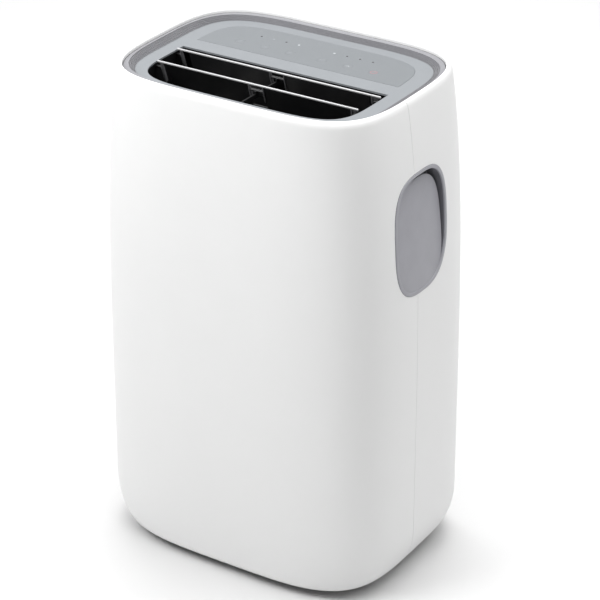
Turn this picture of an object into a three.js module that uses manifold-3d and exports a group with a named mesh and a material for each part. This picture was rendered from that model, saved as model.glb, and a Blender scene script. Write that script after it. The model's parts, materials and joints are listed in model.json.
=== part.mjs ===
// A portable air conditioner on four casters, as an assembly of separate solids.
// Millimetres. +Z is up, the front faces -Y, and the origin is on the floor under the middle of the casing.
import * as THREE from "three";
import { mergeVertices } from "three/addons/utils/BufferGeometryUtils.js";
import Module from "manifold-3d";

const wasm = await Module();
wasm.setup();

// ---------------------------------------------------------------- driving dimensions

const FLOOR_GAP = 12; // the casing's lower edge above the floor
const GAP = 0.3; // the least clearance between two pieces

// The casing is a stack of superellipses. Heights are counted from its own lower edge.
const CASING = {
  height: 700,
  halfWidth: 230,
  halfDepth: 159.5,
  wall: 3,
  taperStart: 50, // above this height the sides draw in
  taperPower: 4.5,
  taperSide: 24.5, // how far each side has drawn in at the top
  taperFace: 2,
  footSide: { inset: 38.4, height: 68 }, // the rounding at the foot of each side
  footFace: { inset: 6.7, height: 8.8 },
  crown: { inset: 4.2, height: 10 }, // the rounding of the rim
  lipDepth: 9, // the thickness of the rim where it turns in to the top frame
  lipChamfer: { width: 2, height: 2.4 },
  xPower: { foot: 3.8, top: 4.9 },
  yPower: { foot: 4.2, top: 3.4 },
};
const SEAM = { y: -31, gap: 0.5 }; // where the front casing meets the rear casing
const AROUND = 32; // points round a casing section

// The grey top frame: a flat band, a flight of fine steps and the sunken deck.
const TOP = {
  halfWidth: 198.3,
  halfDepth: 148.3,
  xPower: 5,
  yPower: 3.5,
  bandHeight: CASING.height - 4.8,
  bandSide: 4.8,
  bandFace: 10.3,
  deckHeight: CASING.height - 11,
  deckThickness: 2.5,
  deckHalfWidth: 181,
  deckHalfDepth: 131.5,
  deckPower: 4.7,
  steps: 4,
  skirt: 15,
  skirtWall: 2.4,
};
const OPENING = { halfWidth: 160, halfDepth: 123, power: 5.4, rearY: -1.5 };
const OVERLAY = { halfWidth: 157.5, halfDepth: 113, power: 5.1, frontY: 28, thickness: 1.6, recess: 1.8 };

const KEYS = { y: 54, radius: 6.7, hole: 7.1, plunger: 2, xs: [-105, -65, -25, 25, 65, 105] };
const KEY_NAMES = ["key_timer", "key_mode", "key_fan", "key_down", "key_up", "key_power"];
const LAMPS = { y: 84, radius: 1.3, hole: 1.6, xs: [-90, -70, -50, -30, 26, 46, 66, 86] };

// The louvre vanes turn about X. At rest they lean, with the lower edge towards the rear.
const LOUVER = {
  pivotHeight: CASING.height - 18.5,
  names: ["rear", "front"],
  ys: [-14.7, -64.7],
  halfLengths: [158.5, 155],
  pinEnds: [168, 160],
  leanDeg: 20,
  stripTop: 11, // above the pivot
  stripHeight: 2.4,
  stripHalf: 1.1,
  bladeDrop: 38,
  bladeHalf: 0.9,
  bladeEnd: 139.5,
  notchHalf: 12,
  notchDrop: 26,
  crank: 20,
  crankX: 144,
};

const DUCT = {
  wall: 2.2,
  upper: { halfWidth: 161.5, halfDepth: 124.5, power: 5.4, rearY: 8 },
  lower: { halfWidth: 150, frontY: -104, rearY: 4 },
  shelf: 640, // height where the upper part narrows to the lower one
  bottom: 585,
};
const GUIDE = { xs: [-112, -56, 0, 56, 112], pivot: 618, crank: 18, frontY: -98, rearY: -8, half: 0.8 };

// The hand grips are recessed cups in both sides.
const GRIP = {
  y: -16.5,
  height: 518,
  halfWidth: 63.5,
  halfHeight: 84.6,
  power: 3.2,
  lowRearPower: 2.6,
  rim: 5,
  proud: 0.8,
  wall: 2.5,
};
const GRIP_FLOOR = { low: { x: 228, height: 436 }, high: { x: 210, height: 600 } };
// The fingers go up behind the floor plate, through a slot along its rear and upper edges.
const GRIP_SLOT = { rear: 3.5, top: 8, depth: 12 };

const REAR_PANELS = {
  upper: { low: 448, high: 642, rows: 7 },
  lower: { low: 52, high: 236, rows: 7 },
  halfWidth: 151,
  border: 12,
  mullion: 5,
};
const EXHAUST = { height: 335, bore: 72, tube: 75, flange: 85.5, innerY: 122, faceY: 159.2 };
const DRAINS = { upper: { x: -120, height: 432 }, lower: { x: 110, height: 24 }, bore: 6, flange: 11 };
const GLAND = { x: 125, height: 276, bore: 4, flange: 11 };

const CASTER = { x: 134, y: 96, trail: 13, radius: 17, halfTread: 8, well: 33, ceiling: 34, stem: 5, sides: 14 };

const EVAPORATOR_FAN = { x: 0, height: 500, radius: 68, wheel: 55, frontY: -106, rearY: 6 };
const CONDENSER_FAN = { x: 35, height: 170, radius: 92, wheel: 72, frontY: -106, rearY: -6 };

// ---------------------------------------------------------------- materials

const plastic = (color, roughness) => new THREE.MeshStandardMaterial({ color, roughness, metalness: 0 });
const metal = (color, roughness) => new THREE.MeshStandardMaterial({ color, roughness, metalness: 1 });
const WHITE = plastic(0xf2f3f3, 0.35);
const TRIM_GREY = plastic(0x97989c, 0.45);
const DECK_GREY = plastic(0xb4b8bc, 0.45);
const PANEL_GREY = plastic(0xa3a9ae, 0.2);
const SILVER = plastic(0xc6c6c8, 0.35);
const BLACK = plastic(0x17171a, 0.45);
const DARK_GREY = plastic(0x4c4d50, 0.6);
const CLEAR = plastic(0x3a3d40, 0.15);
const RUBBER = plastic(0x2a2a2c, 0.85);
const BOARD = plastic(0x2f6b45, 0.5);
const FOAM = plastic(0xe8e8e4, 0.9);
const STEEL = metal(0x9da1a5, 0.4);
const PAINTED = plastic(0x202124, 0.5);
const ALUMINIUM = metal(0xc9cccf, 0.45);
const COPPER = metal(0xb87348, 0.35);

// ---------------------------------------------------------------- solids from three.js geometry

/** A closed three.js geometry as a solid, with its faces pointing out. */
function solidOf(geometry) {
  const bare = geometry.clone();
  for (const name of ["normal", "uv"]) bare.deleteAttribute(name);
  const merged = mergeVertices(bare, 1e-4);
  const positions = merged.attributes.position.array;
  const triangles = new Uint32Array(merged.index.array);
  const make = () =>
    new wasm.Manifold(new wasm.Mesh({ numProp: 3, vertProperties: positions, triVerts: triangles }));
  const made = make();
  if (made.volume() > 0) return made;
  for (let i = 0; i < triangles.length; i += 3)
    [triangles[i + 1], triangles[i + 2]] = [triangles[i + 2], triangles[i + 1]];
  return make();
}

/** A solid as a three.js geometry with flat normals. */
function geometryOf(solid) {
  const mesh = solid.getMesh();
  const indexed = new THREE.BufferGeometry();
  indexed.setAttribute("position", new THREE.BufferAttribute(new Float32Array(mesh.vertProperties), 3));
  indexed.setIndex(new THREE.BufferAttribute(new Uint32Array(mesh.triVerts), 1));
  const flat = indexed.toNonIndexed();
  flat.computeVertexNormals();
  return flat;
}

const union = (...solids) => solids.flat().reduce((all, one) => all.add(one));
const without = (solid, ...cuts) => cuts.flat().reduce((left, cut) => left.subtract(cut), solid);

function box([x0, x1], [y0, y1], [z0, z1]) {
  const geometry = new THREE.BoxGeometry(x1 - x0, y1 - y0, z1 - z0);
  return solidOf(geometry.translate((x0 + x1) / 2, (y0 + y1) / 2, (z0 + z1) / 2));
}

const TURN = {
  x: (geometry) => geometry.rotateZ(-Math.PI / 2),
  y: (geometry) => geometry,
  z: (geometry) => geometry.rotateX(Math.PI / 2),
};

/** A cylinder along an axis, from one coordinate to another, round a centre given in the other two. */
function rod(axis, radius, [from, to], [x, y, z], sides = 12) {
  const geometry = TURN[axis](new THREE.CylinderGeometry(radius, radius, to - from, sides));
  const middle = (from + to) / 2;
  const centre = { x: [middle, y, z], y: [x, middle, z], z: [x, y, middle] }[axis];
  return solidOf(geometry.translate(...centre));
}

/** A solid of revolution. The profile is [radius, distance along the axis] pairs, and closes on itself or on the axis. */
function turned(axis, profile, [x, y, z], sides = 16) {
  const closed = profile[0][0] > 0 ? [...profile, profile[0]] : profile;
  const points = closed.map(([radius, along]) => new THREE.Vector2(radius, along));
  return solidOf(TURN[axis](new THREE.LatheGeometry(points, sides)).translate(x, y, z));
}

/** A flat outline pushed along an axis. X: points are [y, z]. Y: points are [x, z]. Z: points are [x, y]. */
function pushed(axis, points, [from, to]) {
  const shape = new THREE.Shape(points.map(([u, v]) => new THREE.Vector2(u, v)));
  const geometry = new THREE.ExtrudeGeometry(shape, { depth: to - from, bevelEnabled: false });
  geometry.translate(0, 0, from);
  const axes = { x: [2, 0, 1], y: [0, 2, 1], z: [0, 1, 2] }[axis];
  const source = geometry.attributes.position;
  const placed = new Float32Array(source.count * 3);
  for (let i = 0; i < source.count; i++) {
    const point = [source.getX(i), source.getY(i), source.getZ(i)];
    axes.forEach((from, to) => (placed[3 * i + to] = point[from]));
  }
  geometry.setAttribute("position", new THREE.BufferAttribute(placed, 3));
  return solidOf(geometry);
}

/** Rings of points, all with as many points, joined from the lowest to the highest and closed at both ends. */
function loft(rings) {
  const count = rings[0].length;
  const positions = rings.flat().flatMap((point) => [point.x, point.y, point.z]);
  const index = [];
  for (let level = 0; level + 1 < rings.length; level++)
    for (let i = 0; i < count; i++) {
      const [a, b] = [level * count + i, level * count + ((i + 1) % count)];
      index.push(a, b, b + count, a, b + count, a + count);
    }
  const top = (rings.length - 1) * count;
  for (let i = 1; i + 1 < count; i++) index.push(0, i + 1, i, top, top + i, top + i + 1);
  return solidOf(indexedGeometry(positions, index));
}

/** The same, but the last ring joins the first, so the solid is a frame round a hole. */
function frameOf(rings) {
  const count = rings[0].length;
  const positions = rings.flat().flatMap((point) => [point.x, point.y, point.z]);
  const index = [];
  rings.forEach((_, level) => {
    const next = (level + 1) % rings.length;
    for (let i = 0; i < count; i++) {
      const j = (i + 1) % count;
      const [a, b, c, d] = [level * count + i, level * count + j, next * count + j, next * count + i];
      index.push(a, b, c, a, c, d);
    }
  });
  return solidOf(indexedGeometry(positions, index));
}

function indexedGeometry(positions, index) {
  const geometry = new THREE.BufferGeometry();
  geometry.setAttribute("position", new THREE.Float32BufferAttribute(positions, 3));
  geometry.setIndex(index);
  return geometry;
}

/** A round pipe along a smooth curve through the points. */
function pipe(points, radius, steps, sides = 8) {
  const path = new THREE.CatmullRomCurve3(points.map((point) => new THREE.Vector3(...point)));
  const circle = new THREE.Shape(
    Array.from({ length: sides }, (_, i) => {
      const angle = (2 * Math.PI * i) / sides;
      return new THREE.Vector2(radius * Math.cos(angle), radius * Math.sin(angle));
    }),
  );
  return solidOf(new THREE.ExtrudeGeometry(circle, { steps, extrudePath: path, bevelEnabled: false }));
}

// ---------------------------------------------------------------- outlines

/** Points of |u/a|^p + |v/b|^q = 1, anticlockwise. */
function superellipse(a, b, p, q = p, count = AROUND) {
  return Array.from({ length: count }, (_, i) => {
    const angle = (2 * Math.PI * i) / count;
    const [c, s] = [Math.cos(angle), Math.sin(angle)];
    const u = Math.abs(c) < 1e-9 ? 0 : Math.sign(c) * a * Math.abs(c) ** (2 / p);
    const v = Math.abs(s) < 1e-9 ? 0 : Math.sign(s) * b * Math.abs(s) ** (2 / q);
    return [u, v];
  });
}

/** The half height at u of that curve. */
const superellipseReach = (u, a, b, p, q = p) => b * (1 - Math.abs(u / a) ** p) ** (1 / q);

/** How far a quarter-ellipse rounding draws in at a height above its foot. */
function footInset(height, { inset, height: reach }) {
  if (height >= reach) return 0;
  return inset * (1 - Math.sqrt(1 - (1 - Math.max(height, 0) / reach) ** 2));
}

/** The casing's half sizes and powers at a height above its lower edge, before the rim's rounding. */
function casingSize(height) {
  const rise = Math.max(height - CASING.taperStart, 0) / (CASING.height - CASING.taperStart);
  const taper = rise ** CASING.taperPower;
  const share = THREE.MathUtils.clamp(height / CASING.height, 0, 1);
  return {
    halfWidth: CASING.halfWidth - CASING.taperSide * taper - footInset(height, CASING.footSide),
    halfDepth: CASING.halfDepth - CASING.taperFace * taper - footInset(height, CASING.footFace),
    xPower: THREE.MathUtils.lerp(CASING.xPower.foot, CASING.xPower.top, share),
    yPower: THREE.MathUtils.lerp(CASING.yPower.foot, CASING.yPower.top, share),
  };
}

/** A ring of points on the casing at a height, moved out by an offset. */
function casingRing(height, offset = 0, at = height) {
  const size = casingSize(height);
  const { inset, height: reach } = CASING.crown;
  const over = Math.max(height - (CASING.height - reach), 0) / reach;
  const out = offset - inset * (1 - Math.sqrt(1 - over ** 2));
  return superellipse(size.halfWidth + out, size.halfDepth + out, size.xPower, size.yPower).map(
    ([x, y]) => new THREE.Vector3(x, y, at + FLOOR_GAP),
  );
}

/** A ring in the top frame, from half sizes and powers. */
const flatRing = (a, b, p, q, height) =>
  superellipse(a, b, p, q).map(([x, y]) => new THREE.Vector3(x, y, height + FLOOR_GAP));

const raise = (height) => height + FLOOR_GAP;
const span = (low, high) => [raise(low), raise(high)];

// ---------------------------------------------------------------- casing

const INNER_HEIGHTS = [8.8, 30, 68, 430, 520, 600, 650, CASING.height - CASING.crown.height];
const RIM_HEIGHTS = [-7, -2.6, -0.6, 0].map((drop) => CASING.height + drop);
const WALL_HEIGHTS = [0, ...INNER_HEIGHTS, ...RIM_HEIGHTS];

/** The space inside the casing's outer surface moved out by an offset, rim and all. */
function casingBlock(offset = 0) {
  return loft(WALL_HEIGHTS.map((height) => casingRing(height, offset)));
}

function casingShell() {
  const depth = -CASING.wall;
  const hollow = loft([
    casingRing(0, depth, -2),
    ...INNER_HEIGHTS.map((height) => casingRing(height, depth)),
    casingRing(CASING.height - CASING.lipDepth, depth),
  ]);
  const mouth = loft([
    topRing(-GAP, CASING.height - 20),
    topRing(-GAP, CASING.height - CASING.lipChamfer.height),
    topRing(-GAP - CASING.lipChamfer.width, CASING.height),
    topRing(-GAP - CASING.lipChamfer.width, CASING.height + 2),
  ]);
  return without(casingBlock(), hollow, mouth);
}

/** The grip's outline as [y, z] points: rounder at its lower rear corner than at the others. */
function gripOutline(grow, drop = { rear: 0, top: 0 }) {
  const outline = (power) => superellipse(GRIP.halfWidth + grow, GRIP.halfHeight + grow, power, power, 20);
  const round = outline(GRIP.lowRearPower);
  return outline(GRIP.power).map((point, i) => {
    const [y, z] = point[0] > 0 && point[1] < 0 ? round[i] : point;
    return [y + GRIP.y - drop.rear, z + raise(GRIP.height) - drop.top];
  });
}

const HALF_SPACE = 400;
const gripHoles = pushed("x", gripOutline(GAP), [-HALF_SPACE, HALF_SPACE]);

function rearPanelHole({ low, high }) {
  return box([-REAR_PANELS.halfWidth, REAR_PANELS.halfWidth], [60, HALF_SPACE], span(low, high));
}

function frontCasing(shell) {
  const keep = box([-HALF_SPACE, HALF_SPACE], [-HALF_SPACE, SEAM.y - SEAM.gap / 2], [-10, 800]);
  return without(shell.intersect(keep), gripHoles);
}

function rearCasing(shell) {
  const keep = box([-HALF_SPACE, HALF_SPACE], [SEAM.y + SEAM.gap / 2, HALF_SPACE], [-10, 800]);
  const rearHole = (radius, x, height, sides) => {
    const corner = (radius + GAP) / Math.cos(Math.PI / sides);
    return rod("y", corner, [100, HALF_SPACE], [x, 0, raise(height)], sides);
  };
  return without(
    shell.intersect(keep),
    gripHoles,
    rearPanelHole(REAR_PANELS.upper),
    rearPanelHole(REAR_PANELS.lower),
    rearHole(EXHAUST.flange, 0, EXHAUST.height, 24),
    rearHole(DRAINS.flange, DRAINS.upper.x, DRAINS.upper.height, 12),
    rearHole(DRAINS.flange, DRAINS.lower.x, DRAINS.lower.height, 12),
    rearHole(GLAND.flange, GLAND.x, GLAND.height, 12),
  );
}

/** A louvred panel cut from the casing's own curved wall. */
function intakeGrille({ low, high, rows }) {
  const { halfWidth, border, mullion } = REAR_PANELS;
  const wall = casingBlock().subtract(casingBlock(-CASING.wall));
  const panel = wall.intersect(
    box([GAP - halfWidth, halfWidth - GAP], [60, HALF_SPACE], span(low + GAP, high - GAP)),
  );
  const pitch = (high - low - 2 * border) / rows;
  const slots = [];
  for (let row = 0; row < rows; row++)
    for (const [x0, x1] of [
      [border - halfWidth, -mullion],
      [mullion, halfWidth - border],
    ]) {
      const start = low + border + row * pitch + pitch * 0.25;
      slots.push(box([x0, x1], [60, HALF_SPACE], span(start, start + pitch * 0.5)));
    }
  return without(panel, slots);
}

/** A filter behind a panel: a frame and cross ribs round a thin sheet. */
function airFilter({ low, high }) {
  const inset = 7;
  const halfWidth = REAR_PANELS.halfWidth - inset - 3;
  const [z0, z1] = span(low + inset, high - inset);
  const sheet = box([-halfWidth, halfWidth], [138, 139], [z0, z1]);
  const rib = 5;
  const frame = without(
    box([-halfWidth, halfWidth], [137, 141], [z0, z1]),
    box([rib - halfWidth, halfWidth - rib], [130, 150], [z0 + rib, z1 - rib]),
  );
  const middle = (z0 + z1) / 2;
  const bars = [
    box([-halfWidth, halfWidth], [137, 141], [middle - 2, middle + 2]),
    ...[-1, 1].map((side) => box([side * 47 - 2, side * 47 + 2], [137, 141], [z0, z1])),
  ];
  return union(sheet, frame, bars);
}

// ---------------------------------------------------------------- top frame and controls

/** The part of a superellipse before or behind a line in Y. */
function clippedPrism({ halfWidth, halfDepth, power }, grow, [low, high], [y0, y1]) {
  const points = superellipse(halfWidth + grow, halfDepth + grow, power);
  const whole = pushed("z", points, span(low, high));
  return whole.intersect(box([-HALF_SPACE, HALF_SPACE], [y0, y1], span(low - 1, high + 1)));
}

/** A ring of the top frame, drawn in from its outer edge. */
function topRing(inset, height, insetFace = inset) {
  return flatRing(TOP.halfWidth - inset, TOP.halfDepth - insetFace, TOP.xPower, TOP.yPower, height);
}

const deckRing = (grow, height) =>
  flatRing(TOP.deckHalfWidth + grow, TOP.deckHalfDepth + grow, TOP.deckPower, TOP.deckPower, height);

/** The trim ring: a flat band, a few fine steps down to the deck, and a skirt inside the rim. */
function trimRing() {
  const { bandSide, bandFace, skirtWall } = TOP;
  const skirtFoot = TOP.bandHeight - TOP.skirt;
  const [high, low] = [TOP.bandHeight, TOP.deckHeight + 0.2];
  const bandEdge = topRing(bandSide, 0, bandFace);
  const steps = [];
  for (let step = 0; step < TOP.steps; step++) {
    const share = step / TOP.steps;
    const edge = deckRing(GAP, 0).map((point, i) => bandEdge[i].clone().lerp(point, share));
    const top = THREE.MathUtils.lerp(high, low, share);
    const foot = THREE.MathUtils.lerp(high, low, share + 1 / TOP.steps);
    for (const height of [top, foot])
      steps.push(edge.map((point) => new THREE.Vector3(point.x, point.y, raise(height))));
  }
  return frameOf([
    topRing(0, skirtFoot),
    topRing(0, high),
    ...steps,
    deckRing(GAP, low),
    deckRing(GAP, low - 1.4),
    topRing(bandSide - 1, low - 1, bandFace - 1),
    topRing(skirtWall, high - 3),
    topRing(skirtWall, skirtFoot),
  ]);
}

/** The deck: a sunken plate with the outlet opening, the overlay's recess, and holes for keys and lamps. */
function topDeck() {
  const under = TOP.deckHeight - TOP.deckThickness;
  const plate = loft([deckRing(0, under), deckRing(0, TOP.deckHeight)]);
  const mouth = clippedPrism(OPENING, 0, [under - 5, TOP.bandHeight + 5], [-HALF_SPACE, OPENING.rearY]);
  const recess = clippedPrism(
    OVERLAY,
    GAP,
    [TOP.deckHeight - OVERLAY.recess, TOP.deckHeight + 1],
    [OVERLAY.frontY - GAP, HALF_SPACE],
  );
  const through = span(under - 2, TOP.deckHeight + 2);
  const plungers = KEYS.xs.map((x) => rod("z", KEYS.plunger + 0.6, through, [x, KEYS.y, 0], 6));
  const [lampLow, lampHigh] = [Math.min(...LAMPS.xs), Math.max(...LAMPS.xs)];
  const lampSlot = box([lampLow - 3, lampHigh + 3], [LAMPS.y - 2.5, LAMPS.y + 2.5], through);
  return without(plate, mouth, recess, plungers, lampSlot);
}

const OVERLAY_BOTTOM = TOP.deckHeight + 0.1 - OVERLAY.thickness;
const OVERLAY_TOP = TOP.deckHeight + 0.1;

function controlOverlay() {
  const sheet = clippedPrism(OVERLAY, 0, [OVERLAY_BOTTOM, OVERLAY_TOP], [OVERLAY.frontY, HALF_SPACE]);
  const through = span(OVERLAY_BOTTOM - 1, OVERLAY_TOP + 1);
  const keyHoles = KEYS.xs.map((x) => rod("z", KEYS.hole, through, [x, KEYS.y, 0], 12));
  const lampHoles = LAMPS.xs.map((x) => rod("z", LAMPS.hole, through, [x, LAMPS.y, 0], 6));
  return without(sheet, keyHoles, lampHoles);
}

/** A push key: a round cap flush with the overlay, on a plunger through the deck. Its origin is the cap's top. */
function key() {
  const capDepth = 1.1;
  const plungerEnd = 6.8;
  const profile = [
    [0, -plungerEnd],
    [KEYS.plunger, -plungerEnd],
    [KEYS.plunger, -capDepth],
    [KEYS.radius, -capDepth],
    [KEYS.radius, 0],
    [0, 0],
  ];
  return turned("z", profile, [0, 0, 0], 12);
}

/** A clear bar under the deck, with a light pin up to each lamp window. */
function lightGuide() {
  const [low, high] = [Math.min(...LAMPS.xs), Math.max(...LAMPS.xs)];
  const bar = box([low - 4, high + 4], [LAMPS.y - 4, LAMPS.y + 4], span(TOP.deckHeight - 6, TOP.deckHeight - 3));
  const pins = LAMPS.xs.map((x) =>
    rod("z", LAMPS.radius, span(TOP.deckHeight - 4, OVERLAY_TOP), [x, LAMPS.y, 0], 6),
  );
  return union(bar, pins);
}

function controlBoard() {
  const top = TOP.deckHeight - 11;
  const board = box([-125, 125], [34, 100], span(top - 1.6, top));
  const switches = KEYS.xs.map((x) => box([x - 4, x + 4], [KEYS.y - 4, KEYS.y + 4], span(top - 1, top + 3.2)));
  const display = box([-22, 22], [64, 78], span(top - 1, top + 6));
  return union(board, switches, display);
}

// ---------------------------------------------------------------- air outlet

function outletDuct() {
  const { wall, upper, lower, shelf, bottom } = DUCT;
  const rim = TOP.deckHeight - TOP.deckThickness - GAP;
  const outside = clippedPrism(upper, wall, [shelf - wall, rim], [-HALF_SPACE, upper.rearY + wall]);
  const inside = clippedPrism(upper, 0, [shelf, rim + 5], [-HALF_SPACE, upper.rearY]);
  const neck = box(
    [-lower.halfWidth - wall, lower.halfWidth + wall],
    [lower.frontY - wall, lower.rearY + wall],
    span(bottom, shelf - 1),
  );
  const throat = box(
    [-lower.halfWidth, lower.halfWidth],
    [lower.frontY, lower.rearY],
    span(bottom - 5, shelf + 5),
  );
  const shell = without(union(outside.subtract(inside), neck), throat);
  return without(union(shell, centreRib()), louverHoles(), guideHoles());
}

/** The rib across the middle of the duct, with an open cradle under each vane's centre shaft. */
function centreRib() {
  const half = 1.2;
  const [top, low] = [LOUVER.pivotHeight - 3, LOUVER.pivotHeight - 9.5];
  const reach = DUCT.upper.halfDepth + 1;
  const bar = box([-half, half], [-reach, DUCT.upper.rearY + 1], span(low, top));
  const cradles = LOUVER.ys.map((y) =>
    box([-half, half], [y - 5, y + 5], span(top - 1, LOUVER.pivotHeight + 0.5)),
  );
  const seats = LOUVER.ys.flatMap((y) => [
    rod("x", 2.5, [-3, 3], [0, y, raise(LOUVER.pivotHeight)], 8),
    box([-3, 3], [y - 2.5, y + 2.5], span(LOUVER.pivotHeight, LOUVER.pivotHeight + 3)),
  ]);
  return without(union(bar, cradles), seats);
}

function louverHoles() {
  return LOUVER.ys.map((y) => rod("x", 2.5, [-HALF_SPACE, HALF_SPACE], [0, y, raise(LOUVER.pivotHeight)], 8));
}

function guideHoles() {
  return GUIDE.xs.map((x) => rod("y", 2.1, [-108, 10], [x, 0, raise(GUIDE.pivot)], 6));
}

/** A vane's light edge strip with its arms and pins. Its origin is the pivot, and it hangs straight down. */
function louverTrim(halfLength, pinEnd) {
  const { stripTop, stripHeight, stripHalf, crank, crankX, notchHalf } = LOUVER;
  const strip = box([-halfLength, halfLength], [-stripHalf, stripHalf], [stripTop - stripHeight, stripTop]);
  const arm = (x0, x1, drop) => box([x0, x1], [-2.6, 2.6], [-drop, stripTop - 1]);
  const arms = [
    arm(crankX, crankX + 2, crank + 4),
    arm(-crankX - 2, -crankX, 5),
    arm(-notchHalf + GAP, -notchHalf + 1.7, 16),
    arm(notchHalf - 1.7, notchHalf - GAP, 16),
  ];
  const pins = [
    rod("x", 2, [crankX + 1, pinEnd], [0, 0, 0], 8),
    rod("x", 2, [-Math.min(pinEnd, 163), -crankX - 1], [0, 0, 0], 8),
    rod("x", 2, [1 - notchHalf, notchHalf - 1], [0, 0, 0], 8),
    rod("x", 1.4, [crankX + 1, crankX + 6.5], [0, 0, -crank], 8),
  ];
  return union(strip, arms, pins);
}

/** A vane's blade: two panels joined under the centre notch. */
function louverBlade() {
  const { stripTop, stripHeight, bladeHalf, bladeDrop, bladeEnd, notchHalf, notchDrop } = LOUVER;
  const top = stripTop - stripHeight - GAP;
  const corner = 8;
  const outline = [
    [-bladeEnd, top],
    [-bladeEnd, corner - bladeDrop],
    [corner - bladeEnd, -bladeDrop],
    [bladeEnd - corner, -bladeDrop],
    [bladeEnd, corner - bladeDrop],
    [bladeEnd, top],
    [notchHalf, top],
    [notchHalf, -notchDrop],
    [-notchHalf, -notchDrop],
    [-notchHalf, top],
  ];
  return pushed("y", outline, [-bladeHalf, bladeHalf]);
}

/** The bar that joins the two vanes' cranks. Its origin is the rear vane's pivot. */
function louverLink() {
  const { crank, crankX, ys } = LOUVER;
  const spacing = ys[0] - ys[1];
  const bar = box([crankX + 3.2, crankX + 5.2], [-spacing - 4, 4], [-crank - 4, -crank + 4]);
  const holes = [0, -spacing].map((y) => rod("x", 1.7, [crankX, crankX + 9], [0, y, -crank], 8));
  return without(bar, holes);
}

/** The geared stepper that turns the rear vane: its shaft is above the middle of its can. */
function swingMotor() {
  const [y, z] = [LOUVER.ys[0], raise(LOUVER.pivotHeight)];
  const can = rod("x", 13.2, [164, 183], [0, y, z - 9.4], 20);
  const ears = box([164, 165.2], [y - 21, y + 21], [z - 13, z - 6]);
  return without(union(can, ears), rod("x", 2.4, [160, 170], [0, y, z], 10));
}

/** A guide vane, hanging from its pivot, which is its origin. */
function guideVane() {
  const { frontY, rearY, half, crank } = GUIDE;
  const plate = box([-half, half], [frontY, rearY], [-24, 8]);
  const pivots = [
    rod("y", 1.6, [DUCT.lower.frontY - DUCT.wall + 0.4, frontY + 1], [0, 0, 0], 6),
    rod("y", 1.6, [rearY - 1, DUCT.lower.rearY + DUCT.wall - 0.4], [0, 0, 0], 6),
  ];
  return union(plate, pivots, rod("y", 1.4, [rearY - 1, rearY + 4.6], [0, 0, -crank], 6));
}

/** The bar that moves all guide vanes together. */
function guideLink() {
  const y = [GUIDE.rearY + 1.5, GUIDE.rearY + 3.5];
  const reach = GUIDE.xs[GUIDE.xs.length - 1] + 6;
  const middle = GUIDE.pivot - GUIDE.crank;
  const bar = box([-reach, reach], y, span(middle - 3.5, middle + 3.5));
  return without(bar, GUIDE.xs.map((x) => rod("y", 1.8, [y[0] - 2, y[1] + 2], [x, 0, raise(middle)], 6)));
}

// ---------------------------------------------------------------- hand grips

/** The right-hand grip cup: a rim on the casing, a tub behind it, and a sloping floor plate with a finger slot. */
function gripCup() {
  const skin = casingBlock(GRIP.proud);
  const behind = casingBlock(-CASING.wall - GAP);
  const deep = casingBlock(-CASING.wall - GRIP.wall);
  const right = (grow, drop) => pushed("x", gripOutline(grow, drop), [150, HALF_SPACE]);
  const rim = skin.subtract(deep).intersect(right(0));
  const clip = behind.subtract(deep).intersect(right(5));
  const { low, high } = GRIP_FLOOR;
  const slope = (high.x - low.x) / (high.height - low.height);
  const floorX = (height, depth) => low.x + slope * (height - low.height) - depth;
  const [foot, head] = [GRIP.height - 120, GRIP.height + 120];
  /** Everything outwards of the floor plane moved in by a depth. */
  const beyond = (depth) => {
    const outline = [
      [floorX(foot, depth), raise(foot)],
      [HALF_SPACE, raise(foot)],
      [HALF_SPACE, raise(head)],
      [floorX(head, depth), raise(head)],
    ];
    return pushed("y", outline, [-200, 200]);
  };
  const back = GRIP_SLOT.depth + GRIP.wall;
  const tub = behind.intersect(right(GRIP.wall - GRIP.rim)).intersect(beyond(back + GRIP.wall));
  const hollow = right(-GRIP.rim).intersect(beyond(back));
  const plate = beyond(GRIP.wall)
    .subtract(beyond(0))
    .intersect(right(-GRIP.rim, GRIP_SLOT))
    .intersect(right(1 - GRIP.rim))
    .intersect(casingBlock());
  return union(without(union(rim, clip, tub), hollow), plate);
}

// ---------------------------------------------------------------- rear fittings

function exhaustCollar() {
  const { bore, tube, flange, innerY, faceY, height } = EXHAUST;
  const step = faceY - 3.6;
  const profile = [
    [bore, innerY],
    [tube, innerY],
    [tube, step],
    [flange, step],
    [flange, faceY],
    [bore, faceY],
  ];
  return turned("y", profile, [0, 0, raise(height)], 28);
}

function exhaustGuard() {
  const { bore, height } = EXHAUST;
  const outer = bore - GAP * 2;
  const rim = turned(
    "y",
    [
      [outer - 4, 124],
      [outer, 124],
      [outer, 127],
      [outer - 4, 127],
    ],
    [0, 0, raise(height)],
    28,
  );
  const bars = [-40, 0, 40].map((rise) => {
    const reach = Math.sqrt((outer - 2) ** 2 - rise ** 2);
    return box([-reach, reach], [124.2, 126.8], span(height + rise - 1.5, height + rise + 1.5));
  });
  const post = box([-1.5, 1.5], [124.4, 126.6], span(height - outer + 2, height + outer - 2));
  return union(rim, bars, post);
}

/** A stopper with a round head, centred on its drain port. */
function drainPlug({ x, height }, faceY, stemY) {
  const profile = [
    [0, stemY],
    [DRAINS.bore - GAP, stemY],
    [DRAINS.bore - GAP, faceY - 3],
    [DRAINS.flange, faceY - 3],
    [DRAINS.flange - 1, faceY],
    [0, faceY],
  ];
  return turned("y", profile, [x, 0, raise(height)], 16);
}

/** The rubber bush in the rear wall that the mains cord would pass through. */
function cordGland() {
  const profile = [
    [GLAND.bore, 148],
    [GLAND.flange, 148],
    [GLAND.flange, 156.6],
    [GLAND.flange - 1.2, 157.8],
    [GLAND.bore, 157.8],
  ];
  return turned("y", profile, [GLAND.x, 0, raise(GLAND.height)], 12);
}

// ---------------------------------------------------------------- base and casters

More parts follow.
